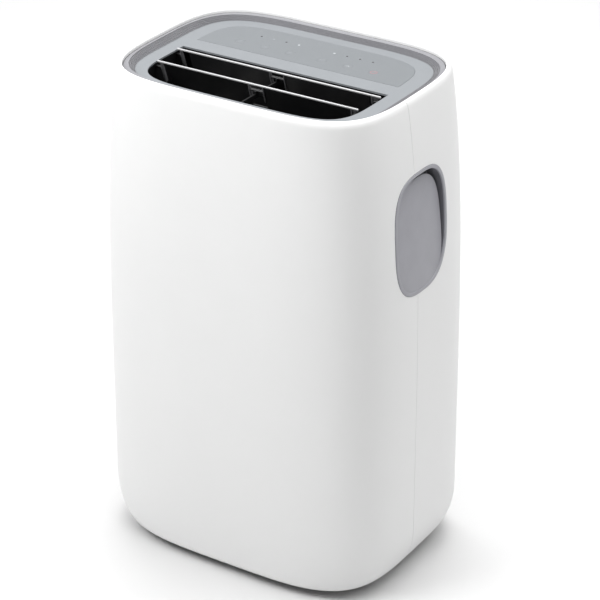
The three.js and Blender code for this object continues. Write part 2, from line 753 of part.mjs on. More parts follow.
const CASTERS = [
  ["front_left", -1, -1],
  ["front_right", 1, -1],
  ["rear_left", -1, 1],
  ["rear_right", 1, 1],
];

function basePan() {
  const ring = (inset, height) => {
    const size = casingSize(0);
    return flatRing(size.halfWidth - inset, size.halfDepth - inset, size.xPower, size.yPower, height);
  };
  const edge = CASING.wall + GAP;
  const [floor, walls] = [3, 36];
  const tray = without(
    union(loft([ring(edge, 0), ring(edge, floor)]), loft([ring(12, 1), ring(12, walls)])),
    loft([ring(14.5, floor), ring(14.5, walls + 2)]),
  );
  const [well, ceiling] = [CASTER.well, CASTER.ceiling];
  const corner = ([, sx, sy]) => [sx * CASTER.x, sy * CASTER.y, 0];
  const hoods = CASTERS.map((one) => rod("z", well + 4.5, span(0.5, ceiling + 3), corner(one), 14));
  const wells = CASTERS.map((one) => rod("z", well + 1, span(-3, ceiling), corner(one), 14));
  const bosses = CASTERS.map((one) => rod("z", 9, span(ceiling + 1, ceiling + 18), corner(one), 8));
  const sockets = CASTERS.map((one) => rod("z", CASTER.stem + 0.8, span(0, ceiling + 15), corner(one), 8));
  const { x, height } = DRAINS.lower;
  const port = rod("y", DRAINS.bore + 3, [130, 150], [x, 0, raise(height)], 10);
  const bore = rod("y", DRAINS.bore + 0.4, [120, 160], [x, 0, raise(height)], 10);
  return without(union(tray, hoods, bosses, port), wells, sockets, bore);
}

/** A caster's fork, with its stem on the swivel axis and its axle pin. Its origin is on the floor under the stem. */
function casterFork() {
  const { trail, radius, halfTread, stem, ceiling } = CASTER;
  const cheek = (side) =>
    pushed(
      "y",
      [
        [-7, 39],
        [-7, 33],
        [trail - 5, radius - 5],
        [trail + 5, radius - 5],
        [trail + 5, radius + 4],
        [11, 39],
      ],
      side < 0 ? [-halfTread - 3.4, -halfTread - 0.8] : [halfTread + 0.8, halfTread + 3.4],
    );
  const bridge = box([-7, 11], [-halfTread - 3.4, halfTread + 3.4], [35.6, 39]);
  const stub = rod("z", stem, [38, raise(ceiling + 14)], [0, 0, 0], 8);
  const collar = rod("z", 8, [38, 42], [0, 0, 0], 8);
  const pin = rod("y", 2.4, [-halfTread - 2, halfTread + 2], [trail, 0, radius], 8);
  return union(cheek(-1), cheek(1), bridge, stub, collar, pin);
}

/** A caster's wheel round its own centre. */
function casterWheel() {
  const { radius, halfTread, sides } = CASTER;
  const corner = radius / Math.cos(Math.PI / sides);
  const profile = [
    [3, -halfTread],
    [corner - 1.5, -halfTread],
    [corner, -halfTread + 1.5],
    [corner, halfTread - 1.5],
    [corner - 1.5, halfTread],
    [3, halfTread],
  ];
  return turned("y", profile, [0, 0, 0], sides);
}

// ---------------------------------------------------------------- machinery

/** A blower housing: a drum and a widening outlet, open at the top, with the air inlet in its rear face. */
function evaporatorScroll() {
  const { x, height, radius, frontY, rearY } = EVAPORATOR_FAN;
  const [wall, exit] = [2.5, DUCT.bottom - GAP];
  const mouth = DUCT.lower.halfWidth;
  const form = (grow, [y0, y1], top) => {
    const drum = rod("y", radius + grow, [y0, y1], [x, 0, raise(height)], 18);
    const neck = [
      [-radius + 2 - grow, raise(height)],
      [radius - 2 + grow, raise(height)],
      [mouth + grow - wall, raise(exit)],
      [mouth + grow - wall, raise(top)],
      [wall - mouth - grow, raise(top)],
      [wall - mouth - grow, raise(exit)],
    ];
    return union(drum, pushed("y", neck, [y0, y1]));
  };
  const cut = form(0, [frontY + wall, rearY - wall], exit + 6);
  const outside = form(wall, [frontY, rearY], exit + 6).intersect(
    box([-HALF_SPACE, HALF_SPACE], [-HALF_SPACE, HALF_SPACE], span(0, exit)),
  );
  const inlet = rod("y", 48, [rearY - 6, rearY + 6], [x, 0, raise(height)], 20);
  const shaft = rod("y", 7, [frontY - 6, frontY + 6], [x, 0, raise(height)], 10);
  return without(outside, cut, inlet, shaft);
}

/** The lower blower housing: a drum under a box that leads back to the exhaust collar. */
function condenserScroll() {
  const { x, height, radius, frontY, rearY } = CONDENSER_FAN;
  const wall = 2.5;
  const drum = (grow, y) => rod("y", radius + grow, y, [x, 0, raise(height)], 20);
  const tower = (grow, low) => box([-80 - grow, 80 + grow], [frontY + wall - grow, 117.5 + grow], span(low, 415 + grow));
  const outside = union(drum(0, [frontY, rearY]), tower(wall, 252));
  const link = box([-45, 78], [frontY + wall, rearY - wall], span(height + 30, 300));
  const inside = union(drum(-wall, [frontY + wall, rearY - wall]), tower(0, 254.5), link);
  const inlet = rod("y", 60, [rearY - 6, rearY + 6], [x, 0, raise(height)], 20);
  const shaft = rod("y", 7, [frontY - 6, frontY + 6], [x, 0, raise(height)], 10);
  const exit = rod("y", EXHAUST.bore, [110, 130], [0, 0, raise(EXHAUST.height)], 20);
  return without(outside, inside, inlet, shaft, exit);
}

/** A squirrel-cage wheel round its own axis, with the shaft that runs forward into the motor. */
function blowerWheel(radius, [front, rear]) {
  const [sides, blades] = [14, 7];
  const disc = rod("y", radius, [front, front + 2.5], [0, 0, 0], sides);
  const hub = rod("y", 11, [front, front + 30], [0, 0, 0], 8);
  const shaft = rod("y", 4, [front - 30, front + 5], [0, 0, 0], 8);
  const rim = turned(
    "y",
    [
      [radius - 9, rear - 3],
      [radius, rear - 3],
      [radius, rear],
      [radius - 9, rear],
    ],
    [0, 0, 0],
    sides,
  );
  const fins = Array.from({ length: blades }, (_, i) => {
    const fin = new THREE.BoxGeometry(6, rear - front - 2, 1.4).translate(radius - 5, (front + rear) / 2, 0);
    return solidOf(fin.rotateY((2 * Math.PI * i) / blades));
  });
  return union(disc, hub, shaft, rim, fins);
}

/** A fan motor in front of its housing, with a blind bore for the wheel's shaft. */
function fanMotor(radius, { x, height, frontY }) {
  const profile = [
    [0, frontY - 42],
    [radius - 6, frontY - 42],
    [radius, frontY - 36],
    [radius, frontY - 2],
    [4.6, frontY - 2],
    [4.6, frontY - 30],
    [0, frontY - 30],
  ];
  return turned("y", profile, [x, 0, raise(height)], 20);
}

function compressor() {
  const profile = [
    [0, 22],
    [46, 22],
    [50, 30],
    [50, 205],
    [40, 228],
    [0, 234],
  ];
  const can = turned("z", profile.map(([r, h]) => [r, raise(h)]), [0, 0, 0], 20);
  const around = [0, 1, 2].map((i) => (2 * Math.PI * i) / 3);
  const corners = around.map((angle) => [66 * Math.cos(angle), 66 * Math.sin(angle)]);
  const foot = pushed("z", corners, span(14, 18));
  const stand = rod("z", 30, span(16, 25), [0, 0, 0], 12);
  const bushes = around.map((angle) => rod("z", 8, span(5, 15), [50 * Math.cos(angle), 50 * Math.sin(angle), 0], 8));
  const terminal = box([-12, 12], [-8, 8], span(228, 240));
  return union(can, foot, stand, bushes, terminal);
}

function accumulator() {
  const profile = [
    [0, 70],
    [14, 70],
    [19, 78],
    [19, 188],
    [12, 200],
    [0, 200],
  ];
  return turned("z", profile.map(([r, h]) => [r, raise(h)]), [0, 0, 0], 14);
}

/** A finned coil: one block for the fins, with the return bends standing out at both ends. */
function finnedCoil([low, high], [y0, y1]) {
  const fins = box([-138, 138], [y0, y1], span(low, high));
  const bends = [-1, 1].flatMap((side) =>
    [0.25, 0.5, 0.75].map((share) => {
      const height = raise(low + share * (high - low));
      const ends = side < 0 ? [-149, -137] : [137, 149];
      return box(ends, [y0 + 7, y1 - 7], [height - 14, height + 14]);
    }),
  );
  return union(fins, bends);
}

function midTray() {
  const tray = without(box([-165, 165], [-128, 139], span(420, 440)), box([-162.5, 162.5], [-125.5, 136.5], span(422.5, 450)));
  const low = box([-165, 165], [-128, 40], span(430, 460));
  const { x, height } = DRAINS.upper;
  const spout = rod("y", DRAINS.bore + 2.4, [135, 152], [x, 0, raise(height)], 12);
  const bore = rod("y", DRAINS.bore, [130, 160], [x, 0, raise(height)], 12);
  const pipeHole = rod("z", 8, span(410, 450), [-148, 78, 0], 10);
  return without(union(without(tray, low), spout), bore, pipeHole);
}

function controlBox() {
  return without(
    box([137, 186], [-108, -22], span(445, 556)),
    box([139, 200], [-106, -24], span(447, 554)),
  );
}

// ---------------------------------------------------------------- assembly

const unit = new THREE.Group();

function add(name, solid, material, parent = unit) {
  const mesh = new THREE.Mesh(geometryOf(solid), material);
  mesh.name = name;
  parent.add(mesh);
  return mesh;
}

/** A group at a point, for pieces made round their own origin. */
function at(x, y, z) {
  const group = new THREE.Group();
  group.position.set(x, y, z);
  unit.add(group);
  return group;
}

const shell = casingShell();
add("front_casing", frontCasing(shell), WHITE);
add("rear_casing", rearCasing(shell), WHITE);
add("intake_grille_upper", intakeGrille(REAR_PANELS.upper), WHITE);
add("intake_grille_lower", intakeGrille(REAR_PANELS.lower), WHITE);
add("air_filter_upper", airFilter(REAR_PANELS.upper), FOAM);
add("air_filter_lower", airFilter(REAR_PANELS.lower), FOAM);
add("trim_ring", trimRing(), TRIM_GREY);
add("top_deck", topDeck(), DECK_GREY);

add("control_overlay", controlOverlay(), PANEL_GREY);
KEY_NAMES.forEach((name, i) => add(name, key(), PANEL_GREY, at(KEYS.xs[i], KEYS.y, raise(OVERLAY_TOP + 0.2))));
add("lamp_light_guide", lightGuide(), CLEAR);
add("control_board", controlBoard(), BOARD);

add("outlet_duct", outletDuct(), BLACK);
LOUVER.names.forEach((name, i) => {
  const pivot = at(0, LOUVER.ys[i], raise(LOUVER.pivotHeight));
  pivot.rotation.x = THREE.MathUtils.degToRad(LOUVER.leanDeg);
  add(`louver_${name}_trim`, louverTrim(LOUVER.halfLengths[i], LOUVER.pinEnds[i]), SILVER, pivot);
  add(`louver_${name}_blade`, louverBlade(), BLACK, pivot);
});
// The link stays level, so only its place follows the lean.
const lean = THREE.MathUtils.degToRad(LOUVER.leanDeg);
const linkGroup = at(
  0,
  LOUVER.ys[0] + LOUVER.crank * Math.sin(lean),
  raise(LOUVER.pivotHeight) + LOUVER.crank * (1 - Math.cos(lean)),
);
add("louver_link", louverLink(), DARK_GREY, linkGroup);
add("swing_motor", swingMotor(), STEEL);
GUIDE.xs.forEach((x, i) => add(`guide_vane_${i + 1}`, guideVane(), BLACK, at(x, 0, raise(GUIDE.pivot))));
add("guide_link", guideLink(), DARK_GREY);

add("grip_cup_right", gripCup(), TRIM_GREY);
add("grip_cup_left", gripCup(), TRIM_GREY).scale.x = -1;

add("exhaust_collar", exhaustCollar(), WHITE);
add("exhaust_guard", exhaustGuard(), DARK_GREY);
add("drain_plug_upper", drainPlug(DRAINS.upper, 158.4, 140), RUBBER);
add("drain_plug_lower", drainPlug(DRAINS.lower, 159.2, 134), RUBBER);
add("cord_gland", cordGland(), RUBBER);

add("base_pan", basePan(), DARK_GREY);
CASTERS.forEach(([name, sx, sy]) => {
  const swivel = at(sx * CASTER.x, sy * CASTER.y, 0);
  add(`caster_fork_${name}`, casterFork(), DARK_GREY, swivel);
  const wheel = add(`caster_wheel_${name}`, casterWheel(), BLACK, swivel);
  wheel.position.set(CASTER.trail, 0, CASTER.radius);
  wheel.rotation.y = Math.PI / CASTER.sides; // a flat of the rim rests on the floor
});

add("evaporator_scroll", evaporatorScroll(), FOAM);
add("condenser_scroll", condenserScroll(), FOAM);
const evaporatorAxis = [EVAPORATOR_FAN.x, 0, raise(EVAPORATOR_FAN.height)];
const condenserAxis = [CONDENSER_FAN.x, 0, raise(CONDENSER_FAN.height)];
add("evaporator_wheel", blowerWheel(EVAPORATOR_FAN.wheel, [-96, -8]), BLACK, at(...evaporatorAxis));
add("condenser_wheel", blowerWheel(CONDENSER_FAN.wheel, [-96, -20]), BLACK, at(...condenserAxis));
add("evaporator_motor", fanMotor(40, EVAPORATOR_FAN), STEEL);
add("condenser_motor", fanMotor(44, CONDENSER_FAN), STEEL);
add("evaporator_coil", finnedCoil([446, 638], [96, 130]), ALUMINIUM);
add("condenser_coil", finnedCoil([54, 240], [96, 130]), ALUMINIUM);
add("compressor", compressor(), PAINTED, at(-118, 0, 0));
add("accumulator", accumulator(), PAINTED, at(-44, 48, 0));
add("mid_tray", midTray(), FOAM);
add("control_box", controlBox(), STEEL);
add(
  "discharge_pipe",
  pipe(
    [
      [-118, 22, raise(232)],
      [-118, 22, raise(246)],
      [-130, 36, raise(262)],
      [-150, 62, raise(260)],
      [-158, 96, raise(240)],
      [-156, 112, raise(210)],
      [-155, 113, raise(190)],
    ],
    4,
    12,
  ),
  COPPER,
);
add(
  "suction_pipe",
  pipe(
    [
      [-44, 48, raise(201.5)],
      [-46, 50, raise(214)],
      [-66, 60, raise(226)],
      [-96, 72, raise(232)],
      [-125, 77, raise(262)],
      [-146, 78, raise(318)],
      [-148, 78, raise(400)],
      [-148, 78, raise(450)],
      [-155, 88, raise(480)],
      [-155, 104, raise(492)],
    ],
    4,
    16,
  ),
  COPPER,
);

export default unit;
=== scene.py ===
"""The looks of a portable air conditioner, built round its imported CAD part.

Lengths are in millimetres in the tables and helpers, and are turned into metres when a mesh is made.
Heights are counted from the casing's lower edge and raised by the caster clearance.
"""

import json
import math

import bmesh
import bpy
from mathutils import Matrix, Vector


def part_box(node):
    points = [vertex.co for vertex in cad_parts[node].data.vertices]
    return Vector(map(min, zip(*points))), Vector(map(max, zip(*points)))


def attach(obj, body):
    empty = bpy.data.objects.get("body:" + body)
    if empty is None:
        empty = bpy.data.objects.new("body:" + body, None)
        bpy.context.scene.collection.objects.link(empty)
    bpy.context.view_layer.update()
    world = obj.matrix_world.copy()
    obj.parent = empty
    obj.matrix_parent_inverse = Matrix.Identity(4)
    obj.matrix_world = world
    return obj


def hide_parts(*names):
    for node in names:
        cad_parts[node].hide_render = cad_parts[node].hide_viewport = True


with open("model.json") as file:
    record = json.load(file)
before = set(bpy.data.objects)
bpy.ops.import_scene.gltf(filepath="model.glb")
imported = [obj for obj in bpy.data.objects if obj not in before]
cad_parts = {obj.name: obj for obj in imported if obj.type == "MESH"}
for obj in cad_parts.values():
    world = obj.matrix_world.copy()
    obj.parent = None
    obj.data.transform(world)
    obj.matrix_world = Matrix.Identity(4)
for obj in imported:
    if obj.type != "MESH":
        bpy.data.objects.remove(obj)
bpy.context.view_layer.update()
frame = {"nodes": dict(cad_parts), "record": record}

# ---------------------------------------------------------------- dimensions

MM = 0.001
FLOOR_GAP = 12.0
HEIGHT = 700.0
WALL = 3.0
FAR = 400.0
CASING = {"half_width": 230.0, "half_depth": 159.5, "x_power": (3.8, 4.9), "y_power": (4.2, 3.4)}
TAPER = {"start": 50.0, "power": 4.5, "side": 24.5, "face": 2.0}
FOOT = {"side": (38.4, 68.0), "face": (6.7, 8.8)}
CROWN = {"inset": 4.2, "height": 10.0}
LIP = {"depth": 9.0, "width": 2.0, "height": 2.4}
GAP = 0.3
SEAM_Y, SEAM_GAP = -31.0, 0.5
AROUND = 256

TOP = {"half_width": 198.3, "half_depth": 148.3, "x_power": 5.0, "y_power": 3.5}
BAND = {"height": 695.2, "side": 4.8, "face": 10.3, "steps": 4, "skirt": 15.0, "skirt_wall": 2.4}
DECK = {"half_width": 181.0, "half_depth": 131.5, "power": 4.7, "height": 689.0, "thickness": 2.5}
OPENING = {"half_width": 160.0, "half_depth": 123.0, "power": 5.4, "rear_y": -1.5}
OVERLAY = {"half_width": 157.5, "half_depth": 113.0, "power": 5.1, "front_y": 28.0, "thickness": 1.6}
OVERLAY_TOP = DECK["height"] + 0.1
KEYS = {"key_timer": -105, "key_mode": -65, "key_fan": -25, "key_down": 25, "key_up": 65, "key_power": 105}
KEY_Y, KEY_RADIUS, KEY_HOLE, KEY_PROUD = 54.0, 6.94, 7.02, 0.06
MARK_WIDTH, MARK_HEIGHT = 0.42, 0.05
LAMPS = [-90, -70, -50, -30, 26, 46, 66, 86]
LAMP_Y, LAMP_RADIUS, LAMP_HOLE, LAMP_SIGN = 84.0, 1.35, 1.45, 1.6

PIVOT_HEIGHT = HEIGHT - 18.5
LOUVERS = {
    "rear": {"y": -14.7, "half": 158.5, "pin_end": 168.0},
    "front": {"y": -64.7, "half": 155.0, "pin_end": 160.0},
}
LEAN = math.radians(20)
PIN_RADIUS, LEFT_PIN_LIMIT, MIDDLE_PIN = 2.0, 163.0, 11.0
STRIP = {"half_thick": 1.1, "low": 8.6, "high": 11.0}
ARM = {"foot": 2.6, "head": 1.1, "shoulder": -0.5, "top": 9.5}
END_ARM = {"x": (144.0, 146.0), "left_x": (4.5, 6.5), "drop": 24.0}
MIDDLE_ARMS = {"left_x": (-11.7, -10.0), "right_x": (10.3, 11.7), "drop": 16.0}
CRANK = {"radius": 1.4, "x": (145.0, 150.5), "drop": 20.0}

GRIP = {"y": -16.5, "height": 518.0, "half_width": 63.5, "half_height": 84.6}
GRIP_RIM, GRIP_PROUD, GRIP_WALL = 5.0, 0.8, 2.5
GRIP_POWER, GRIP_LOW_REAR_POWER = 3.2, 2.6
GRIP_FLOOR = ((228.0, 436.0), (210.0, 600.0))
GRIP_SLOT = {"rear": 3.5, "top": 8.0, "depth": 12.0}
# How far behind the rim the grip well's painted shade begins.
GRIP_WELL_DEPTH = 1.6

PANELS = {"upper": (448.0, 642.0), "lower": (52.0, 236.0)}
PANEL_HALF, PANEL_BORDER, PANEL_MULLION, PANEL_ROWS = 151.0, 12.0, 5.0, 7
EXHAUST = {"height": 335.0, "bore": 72.0, "tube": 75.0, "flange": 85.5}
EXHAUST_INNER_Y, EXHAUST_FACE_Y, FLANGE_THICK = 122.0, 159.2, 3.6
DRAINS = {
    "upper": {"x": -120.0, "height": 432.0, "face_y": 158.4, "inner_y": 140.0},
    "lower": {"x": 110.0, "height": 24.0, "face_y": 159.2, "inner_y": 134.0},
}
DRAIN_FLANGE = 11.0
GLAND = {"x": 125.0, "height": 276.0, "bore": 4.0, "flange": 11.0}
CASTER = {"trail": 13.0, "radius": 17.0, "half_tread": 8.0, "x": 134.0, "y": 96.0}

BLOWERS = {
    "evaporator": {"radius": 55, "rear": -8, "x": 0, "height": 500, "motor": 40},
    "condenser": {"radius": 72, "rear": -20, "x": 35, "height": 170, "motor": 44},
}
BLOWER_FRONT, BLOWER_BLADES, SHAFT, MOTOR_FRONT = -96, 36, 4, -106
BEND_ROOM, COIL_FINS, COIL_ROWS, COIL_TUBE = 11, 92, 8, 3.2


def raised(height):
    return height + FLOOR_GAP


# ---------------------------------------------------------------- outlines


def superellipse(a, b, p, q=None):
    """Points round a rounded oblong, with one power along X and another along Y."""
    q = p if q is None else q
    points = []
    for i in range(AROUND):
        angle = 2 * math.pi * i / AROUND
        c, s = math.cos(angle), math.sin(angle)
        u = math.copysign(a * abs(c) ** (2 / p), c)
        v = math.copysign(b * abs(s) ** (2 / q), s)
        points.append((u, v))
    return points


def foot_inset(height, inset, reach):
    if height >= reach:
        return 0.0
    return inset * (1 - math.sqrt(max(0.0, 1 - (1 - max(height, 0) / reach) ** 2)))


def casing_size(height):
    """The casing's half width, half depth and the two powers of its section at a height."""
    taper = (max(height - TAPER["start"], 0) / (HEIGHT - TAPER["start"])) ** TAPER["power"]
    share = min(max(height / HEIGHT, 0), 1)
    (x_foot, x_top), (y_foot, y_top) = CASING["x_power"], CASING["y_power"]
    return (
        CASING["half_width"] - TAPER["side"] * taper - foot_inset(height, *FOOT["side"]),
        CASING["half_depth"] - TAPER["face"] * taper - foot_inset(height, *FOOT["face"]),
        x_foot + (x_top - x_foot) * share,
        y_foot + (y_top - y_foot) * share,
    )


def casing_ring(height, offset=0.0):
    """The casing's section at a height, moved outward by an offset and drawn in over the crown."""
    a, b, p, q = casing_size(height)
    over = max(height - (HEIGHT - CROWN["height"]), 0) / CROWN["height"]
    out = offset - CROWN["inset"] * (1 - math.sqrt(max(0.0, 1 - over**2)))
    return [(x, y, raised(height)) for x, y in superellipse(a + out, b + out, p, q)]


def top_ring(inset, height, face=None):
    """The outline of the casing's mouth, inset at the sides and by another amount at front and rear."""
    a, b = TOP["half_width"] - inset, TOP["half_depth"] - (inset if face is None else face)
    return [(x, y, raised(height)) for x, y in superellipse(a, b, TOP["x_power"], TOP["y_power"])]


def deck_ring(grow, height):
    """The outline of the sunken deck."""
    a, b = DECK["half_width"] + grow, DECK["half_depth"] + grow
    return [(x, y, raised(height)) for x, y in superellipse(a, b, DECK["power"])]


def casing_x(y, height):
    """The casing's half width at a depth and a height."""
    a, b, p, q = casing_size(height)
    return a * (1 - min(abs(y / b), 1) ** q) ** (1 / p)


# ---------------------------------------------------------------- mesh helpers


def mesh_object(name, vertices, faces, sharp=30):
    mesh = bpy.data.meshes.new(name)
    mesh.from_pydata([Vector(v) * MM for v in vertices], [], faces)
    obj = bpy.data.objects.new(name, mesh)
    bpy.context.scene.collection.objects.link(obj)
    outward(obj)
    shade(obj, sharp)
    return obj


def outward(obj):
    bm = bmesh.new()
    bm.from_mesh(obj.data)
    bmesh.ops.recalc_face_normals(bm, faces=bm.faces)
    bm.to_mesh(obj.data)
    bm.free()


def shade(obj, sharp=30):
    for polygon in obj.data.polygons:
        polygon.use_smooth = True
    obj.data.set_sharp_from_angle(angle=math.radians(sharp))


def loft(name, rings, sharp=30, closed=False):
    """Rings with as many points each, joined in turn. A closed one joins its last ring to its first."""
    count = len(rings[0])
    vertices = [point for ring in rings for point in ring]
    faces = []
    for level in range(len(rings) if closed else len(rings) - 1):
        nxt = (level + 1) % len(rings)
        for i in range(count):
            j = (i + 1) % count
            faces.append((level * count + i, level * count + j, nxt * count + j, nxt * count + i))
    if not closed:
        faces.append(tuple(range(count)))
        faces.append(tuple((len(rings) - 1) * count + i for i in range(count)))
    return mesh_object(name, vertices, faces, sharp)


AXES_TO = {"x": (1, 2, 0), "y": (0, 2, 1), "z": (0, 1, 2)}


def along(axis, u, v, w):
    """A point from two coordinates across an axis and one along it."""
    point = [0, 0, 0]
    for value, place in zip((u, v, w), AXES_TO[axis]):
        point[place] = value
    return tuple(point)


def prism(name, axis, outline, low, high, bevel=0.0):
    """An outline pushed along an axis, with its end edges rounded by a bevel."""
    bottom = [along(axis, u, v, low) for u, v in outline]
    top = [along(axis, u, v, high) for u, v in outline]
    obj = loft(name, [bottom, top])
    if bevel:
        soften(obj, bevel)
    return obj


def block(name, xs, ys, zs, bevel=0.0):
    outline = [(xs[0], ys[0]), (xs[1], ys[0]), (xs[1], ys[1]), (xs[0], ys[1])]
    return prism(name, "z", outline, zs[0], zs[1], bevel)


def turned(name, axis, profile, centre, sides=64):
    """A solid of revolution from (radius, distance along the axis) pairs. Radius 0 ends on the axis."""
    rings = []
    for radius, distance in profile:
        ring = []
        for i in range(sides):
            angle = 2 * math.pi * i / sides
            u, v = max(radius, 1e-4) * math.cos(angle), max(radius, 1e-4) * math.sin(angle)
            x, y, z = along(axis, u, v, distance)
            ring.append((x + centre[0], y + centre[1], z + centre[2]))
        rings.append(ring)
    return loft(name, rings, closed=profile[0][0] > 0)


def rod(radius, low, high):
    """The profile of a plain round bar."""
    return [(0, low), (radius, low), (radius, high), (0, high)]


def rounded(profile, radius, steps=3):
    """A closed profile with every corner replaced by a short arc-like run of points."""
    result = []
    count = len(profile)
    for i in range(count):
        before, corner, after = (Vector(profile[(i + k) % count]) for k in (-1, 0, 1))
        reach = min(radius, (before - corner).length * 0.45, (after - corner).length * 0.45)
        if reach < 1e-6:
            result.append(tuple(corner))
            continue
        start = corner + (before - corner).normalized() * reach
        end = corner + (after - corner).normalized() * reach
        for k in range(steps + 1):
            t = k / steps
            point = start * (1 - t) ** 2 + corner * 2 * t * (1 - t) + end * t**2
            result.append(tuple(point))
    return result


def soften(obj, width, segments=2, angle=35):
    """A small rounding on every sharp edge."""
    bevel = obj.modifiers.new("soften", "BEVEL")
    bevel.width = width * MM
    bevel.segments = segments
    bevel.limit_method = "ANGLE"
    bevel.angle_limit = math.radians(angle)
    bevel.harden_normals = False
    bevel.miter_outer = "MITER_ARC"
    return obj


def applied(obj):
    """The object's modifiers made part of its mesh."""
    bpy.context.view_layer.update()
    graph = bpy.context.evaluated_depsgraph_get()
    mesh = bpy.data.meshes.new_from_object(obj.evaluated_get(graph))
    obj.modifiers.clear()
    obj.data = mesh
    return obj


def boolean(obj, operation, *tools, sharp=30):
    for tool in tools:
        cut = obj.modifiers.new("cut", "BOOLEAN")
        cut.object = tool
        cut.operation = operation
        cut.solver = "MANIFOLD"
    applied(obj)
    for tool in tools:
        bpy.data.objects.remove(tool)
    shade(obj, sharp)
    return obj


def copied(obj, name):
    twin = obj.copy()
    twin.data = obj.data.copy()
    twin.name = name
    bpy.context.scene.collection.objects.link(twin)
    return twin


def joined(name, *objects):
    """Several objects as one mesh."""
    bm = bmesh.new()
    for obj in objects:
        applied(obj)
        mesh = obj.data
        mesh.transform(obj.matrix_world)
        bm.from_mesh(mesh)
        bpy.data.objects.remove(obj)
    mesh = bpy.data.meshes.new(name)
    bm.to_mesh(mesh)
    bm.free()
    result = bpy.data.objects.new(name, mesh)
    bpy.context.scene.collection.objects.link(result)
    shade(result)
    return result


def mirrored(obj, name):
    twin = copied(obj, name)
    twin.data.transform(Matrix.Scale(-1, 4, (1, 0, 0)))
    twin.data.flip_normals()
    shade(twin)
    return twin


def moved(obj, matrix):
    obj.data.transform(matrix)
    return obj


def place(obj, body, material, slot, *nodes):
    """Gives a piece its material, the CAD body it rides on, and the CAD nodes it stands for."""
    obj.data.materials.clear()
    obj.data.materials.append(material)
    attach(obj, body)
    if nodes:
        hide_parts(*nodes)
    return obj


# ---------------------------------------------------------------- materials


ROUGHNESS_DRIFT = 0.02


def principled(name):
    material = bpy.data.materials.new(name)
    material.use_nodes = True
    return material, material.node_tree, material.node_tree.nodes["Principled BSDF"]


def mottled(
    name, colour, roughness, spread=0.03, scale=40, metal=0.0, coat=0.0, bump=0.0, fine=900, shine=0.5
):
    """A surface whose colour and roughness drift slowly, with a fine grain in its height."""
    material, tree, shader = principled(name)
    nodes, links = tree.nodes, tree.links
    place_of = nodes.new("ShaderNodeTexCoord")
    drift = nodes.new("ShaderNodeTexNoise")
    drift.inputs["Scale"].default_value = scale
    drift.inputs["Detail"].default_value = 3
    links.new(place_of.outputs["Object"], drift.inputs["Vector"])
    ramp = nodes.new("ShaderNodeValToRGB")
    ramp.color_ramp.elements[0].position = 0.3
    ramp.color_ramp.elements[1].position = 0.7
    ramp.color_ramp.elements[0].color = (*[c * (1 - spread) for c in colour], 1)
    ramp.color_ramp.elements[1].color = (*[min(1, c * (1 + spread)) for c in colour], 1)
    links.new(drift.outputs["Fac"], ramp.inputs["Fac"])
    links.new(ramp.outputs["Color"], shader.inputs["Base Color"])
    rough = nodes.new("ShaderNodeMapRange")
    rough.inputs["To Min"].default_value = roughness - ROUGHNESS_DRIFT
    rough.inputs["To Max"].default_value = roughness + ROUGHNESS_DRIFT
    links.new(drift.outputs["Fac"], rough.inputs["Value"])
    links.new(rough.outputs["Result"], shader.inputs["Roughness"])
    shader.inputs["Metallic"].default_value = metal
    shader.inputs["Specular IOR Level"].default_value = shine
    shader.inputs["Coat Weight"].default_value = coat
    shader.inputs["Coat Roughness"].default_value = 0.12
    if bump:
        speckle = nodes.new("ShaderNodeTexNoise")
        speckle.inputs["Scale"].default_value = fine
        speckle.inputs["Detail"].default_value = 2
        links.new(place_of.outputs["Object"], speckle.inputs["Vector"])
        height = nodes.new("ShaderNodeBump")
        height.inputs["Strength"].default_value = bump
        height.inputs["Distance"].default_value = 0.0002
        links.new(speckle.outputs["Fac"], height.inputs["Height"])
        links.new(height.outputs["Normal"], shader.inputs["Normal"])
    return material


def woven(name, colour, pitch):
    """A fine mesh of crossing threads."""
    material, tree, shader = principled(name)
    nodes, links = tree.nodes, tree.links
    place_of = nodes.new("ShaderNodeTexCoord")
    waves = []
    for axis in ("X", "Z"):
        wave = nodes.new("ShaderNodeTexWave")
        wave.bands_direction = axis
        wave.inputs["Scale"].default_value = 1 / pitch
        links.new(place_of.outputs["Object"], wave.inputs["Vector"])
        waves.append(wave)
    most = nodes.new("ShaderNodeMath")
    most.operation = "MAXIMUM"
    links.new(waves[0].outputs["Fac"], most.inputs[0])
    links.new(waves[1].outputs["Fac"], most.inputs[1])
    ramp = nodes.new("ShaderNodeValToRGB")
    ramp.color_ramp.elements[0].position = 0.5
    ramp.color_ramp.elements[0].color = (*[c * 0.25 for c in colour], 1)
    ramp.color_ramp.elements[1].color = (*colour, 1)
    links.new(most.outputs["Value"], ramp.inputs["Fac"])
    links.new(ramp.outputs["Color"], shader.inputs["Base Color"])
    height = nodes.new("ShaderNodeBump")
    height.inputs["Strength"].default_value = 0.4
    height.inputs["Distance"].default_value = 0.0003
    links.new(most.outputs["Value"], height.inputs["Height"])
    links.new(height.outputs["Normal"], shader.inputs["Normal"])
    shader.inputs["Roughness"].default_value = 0.8
    return material


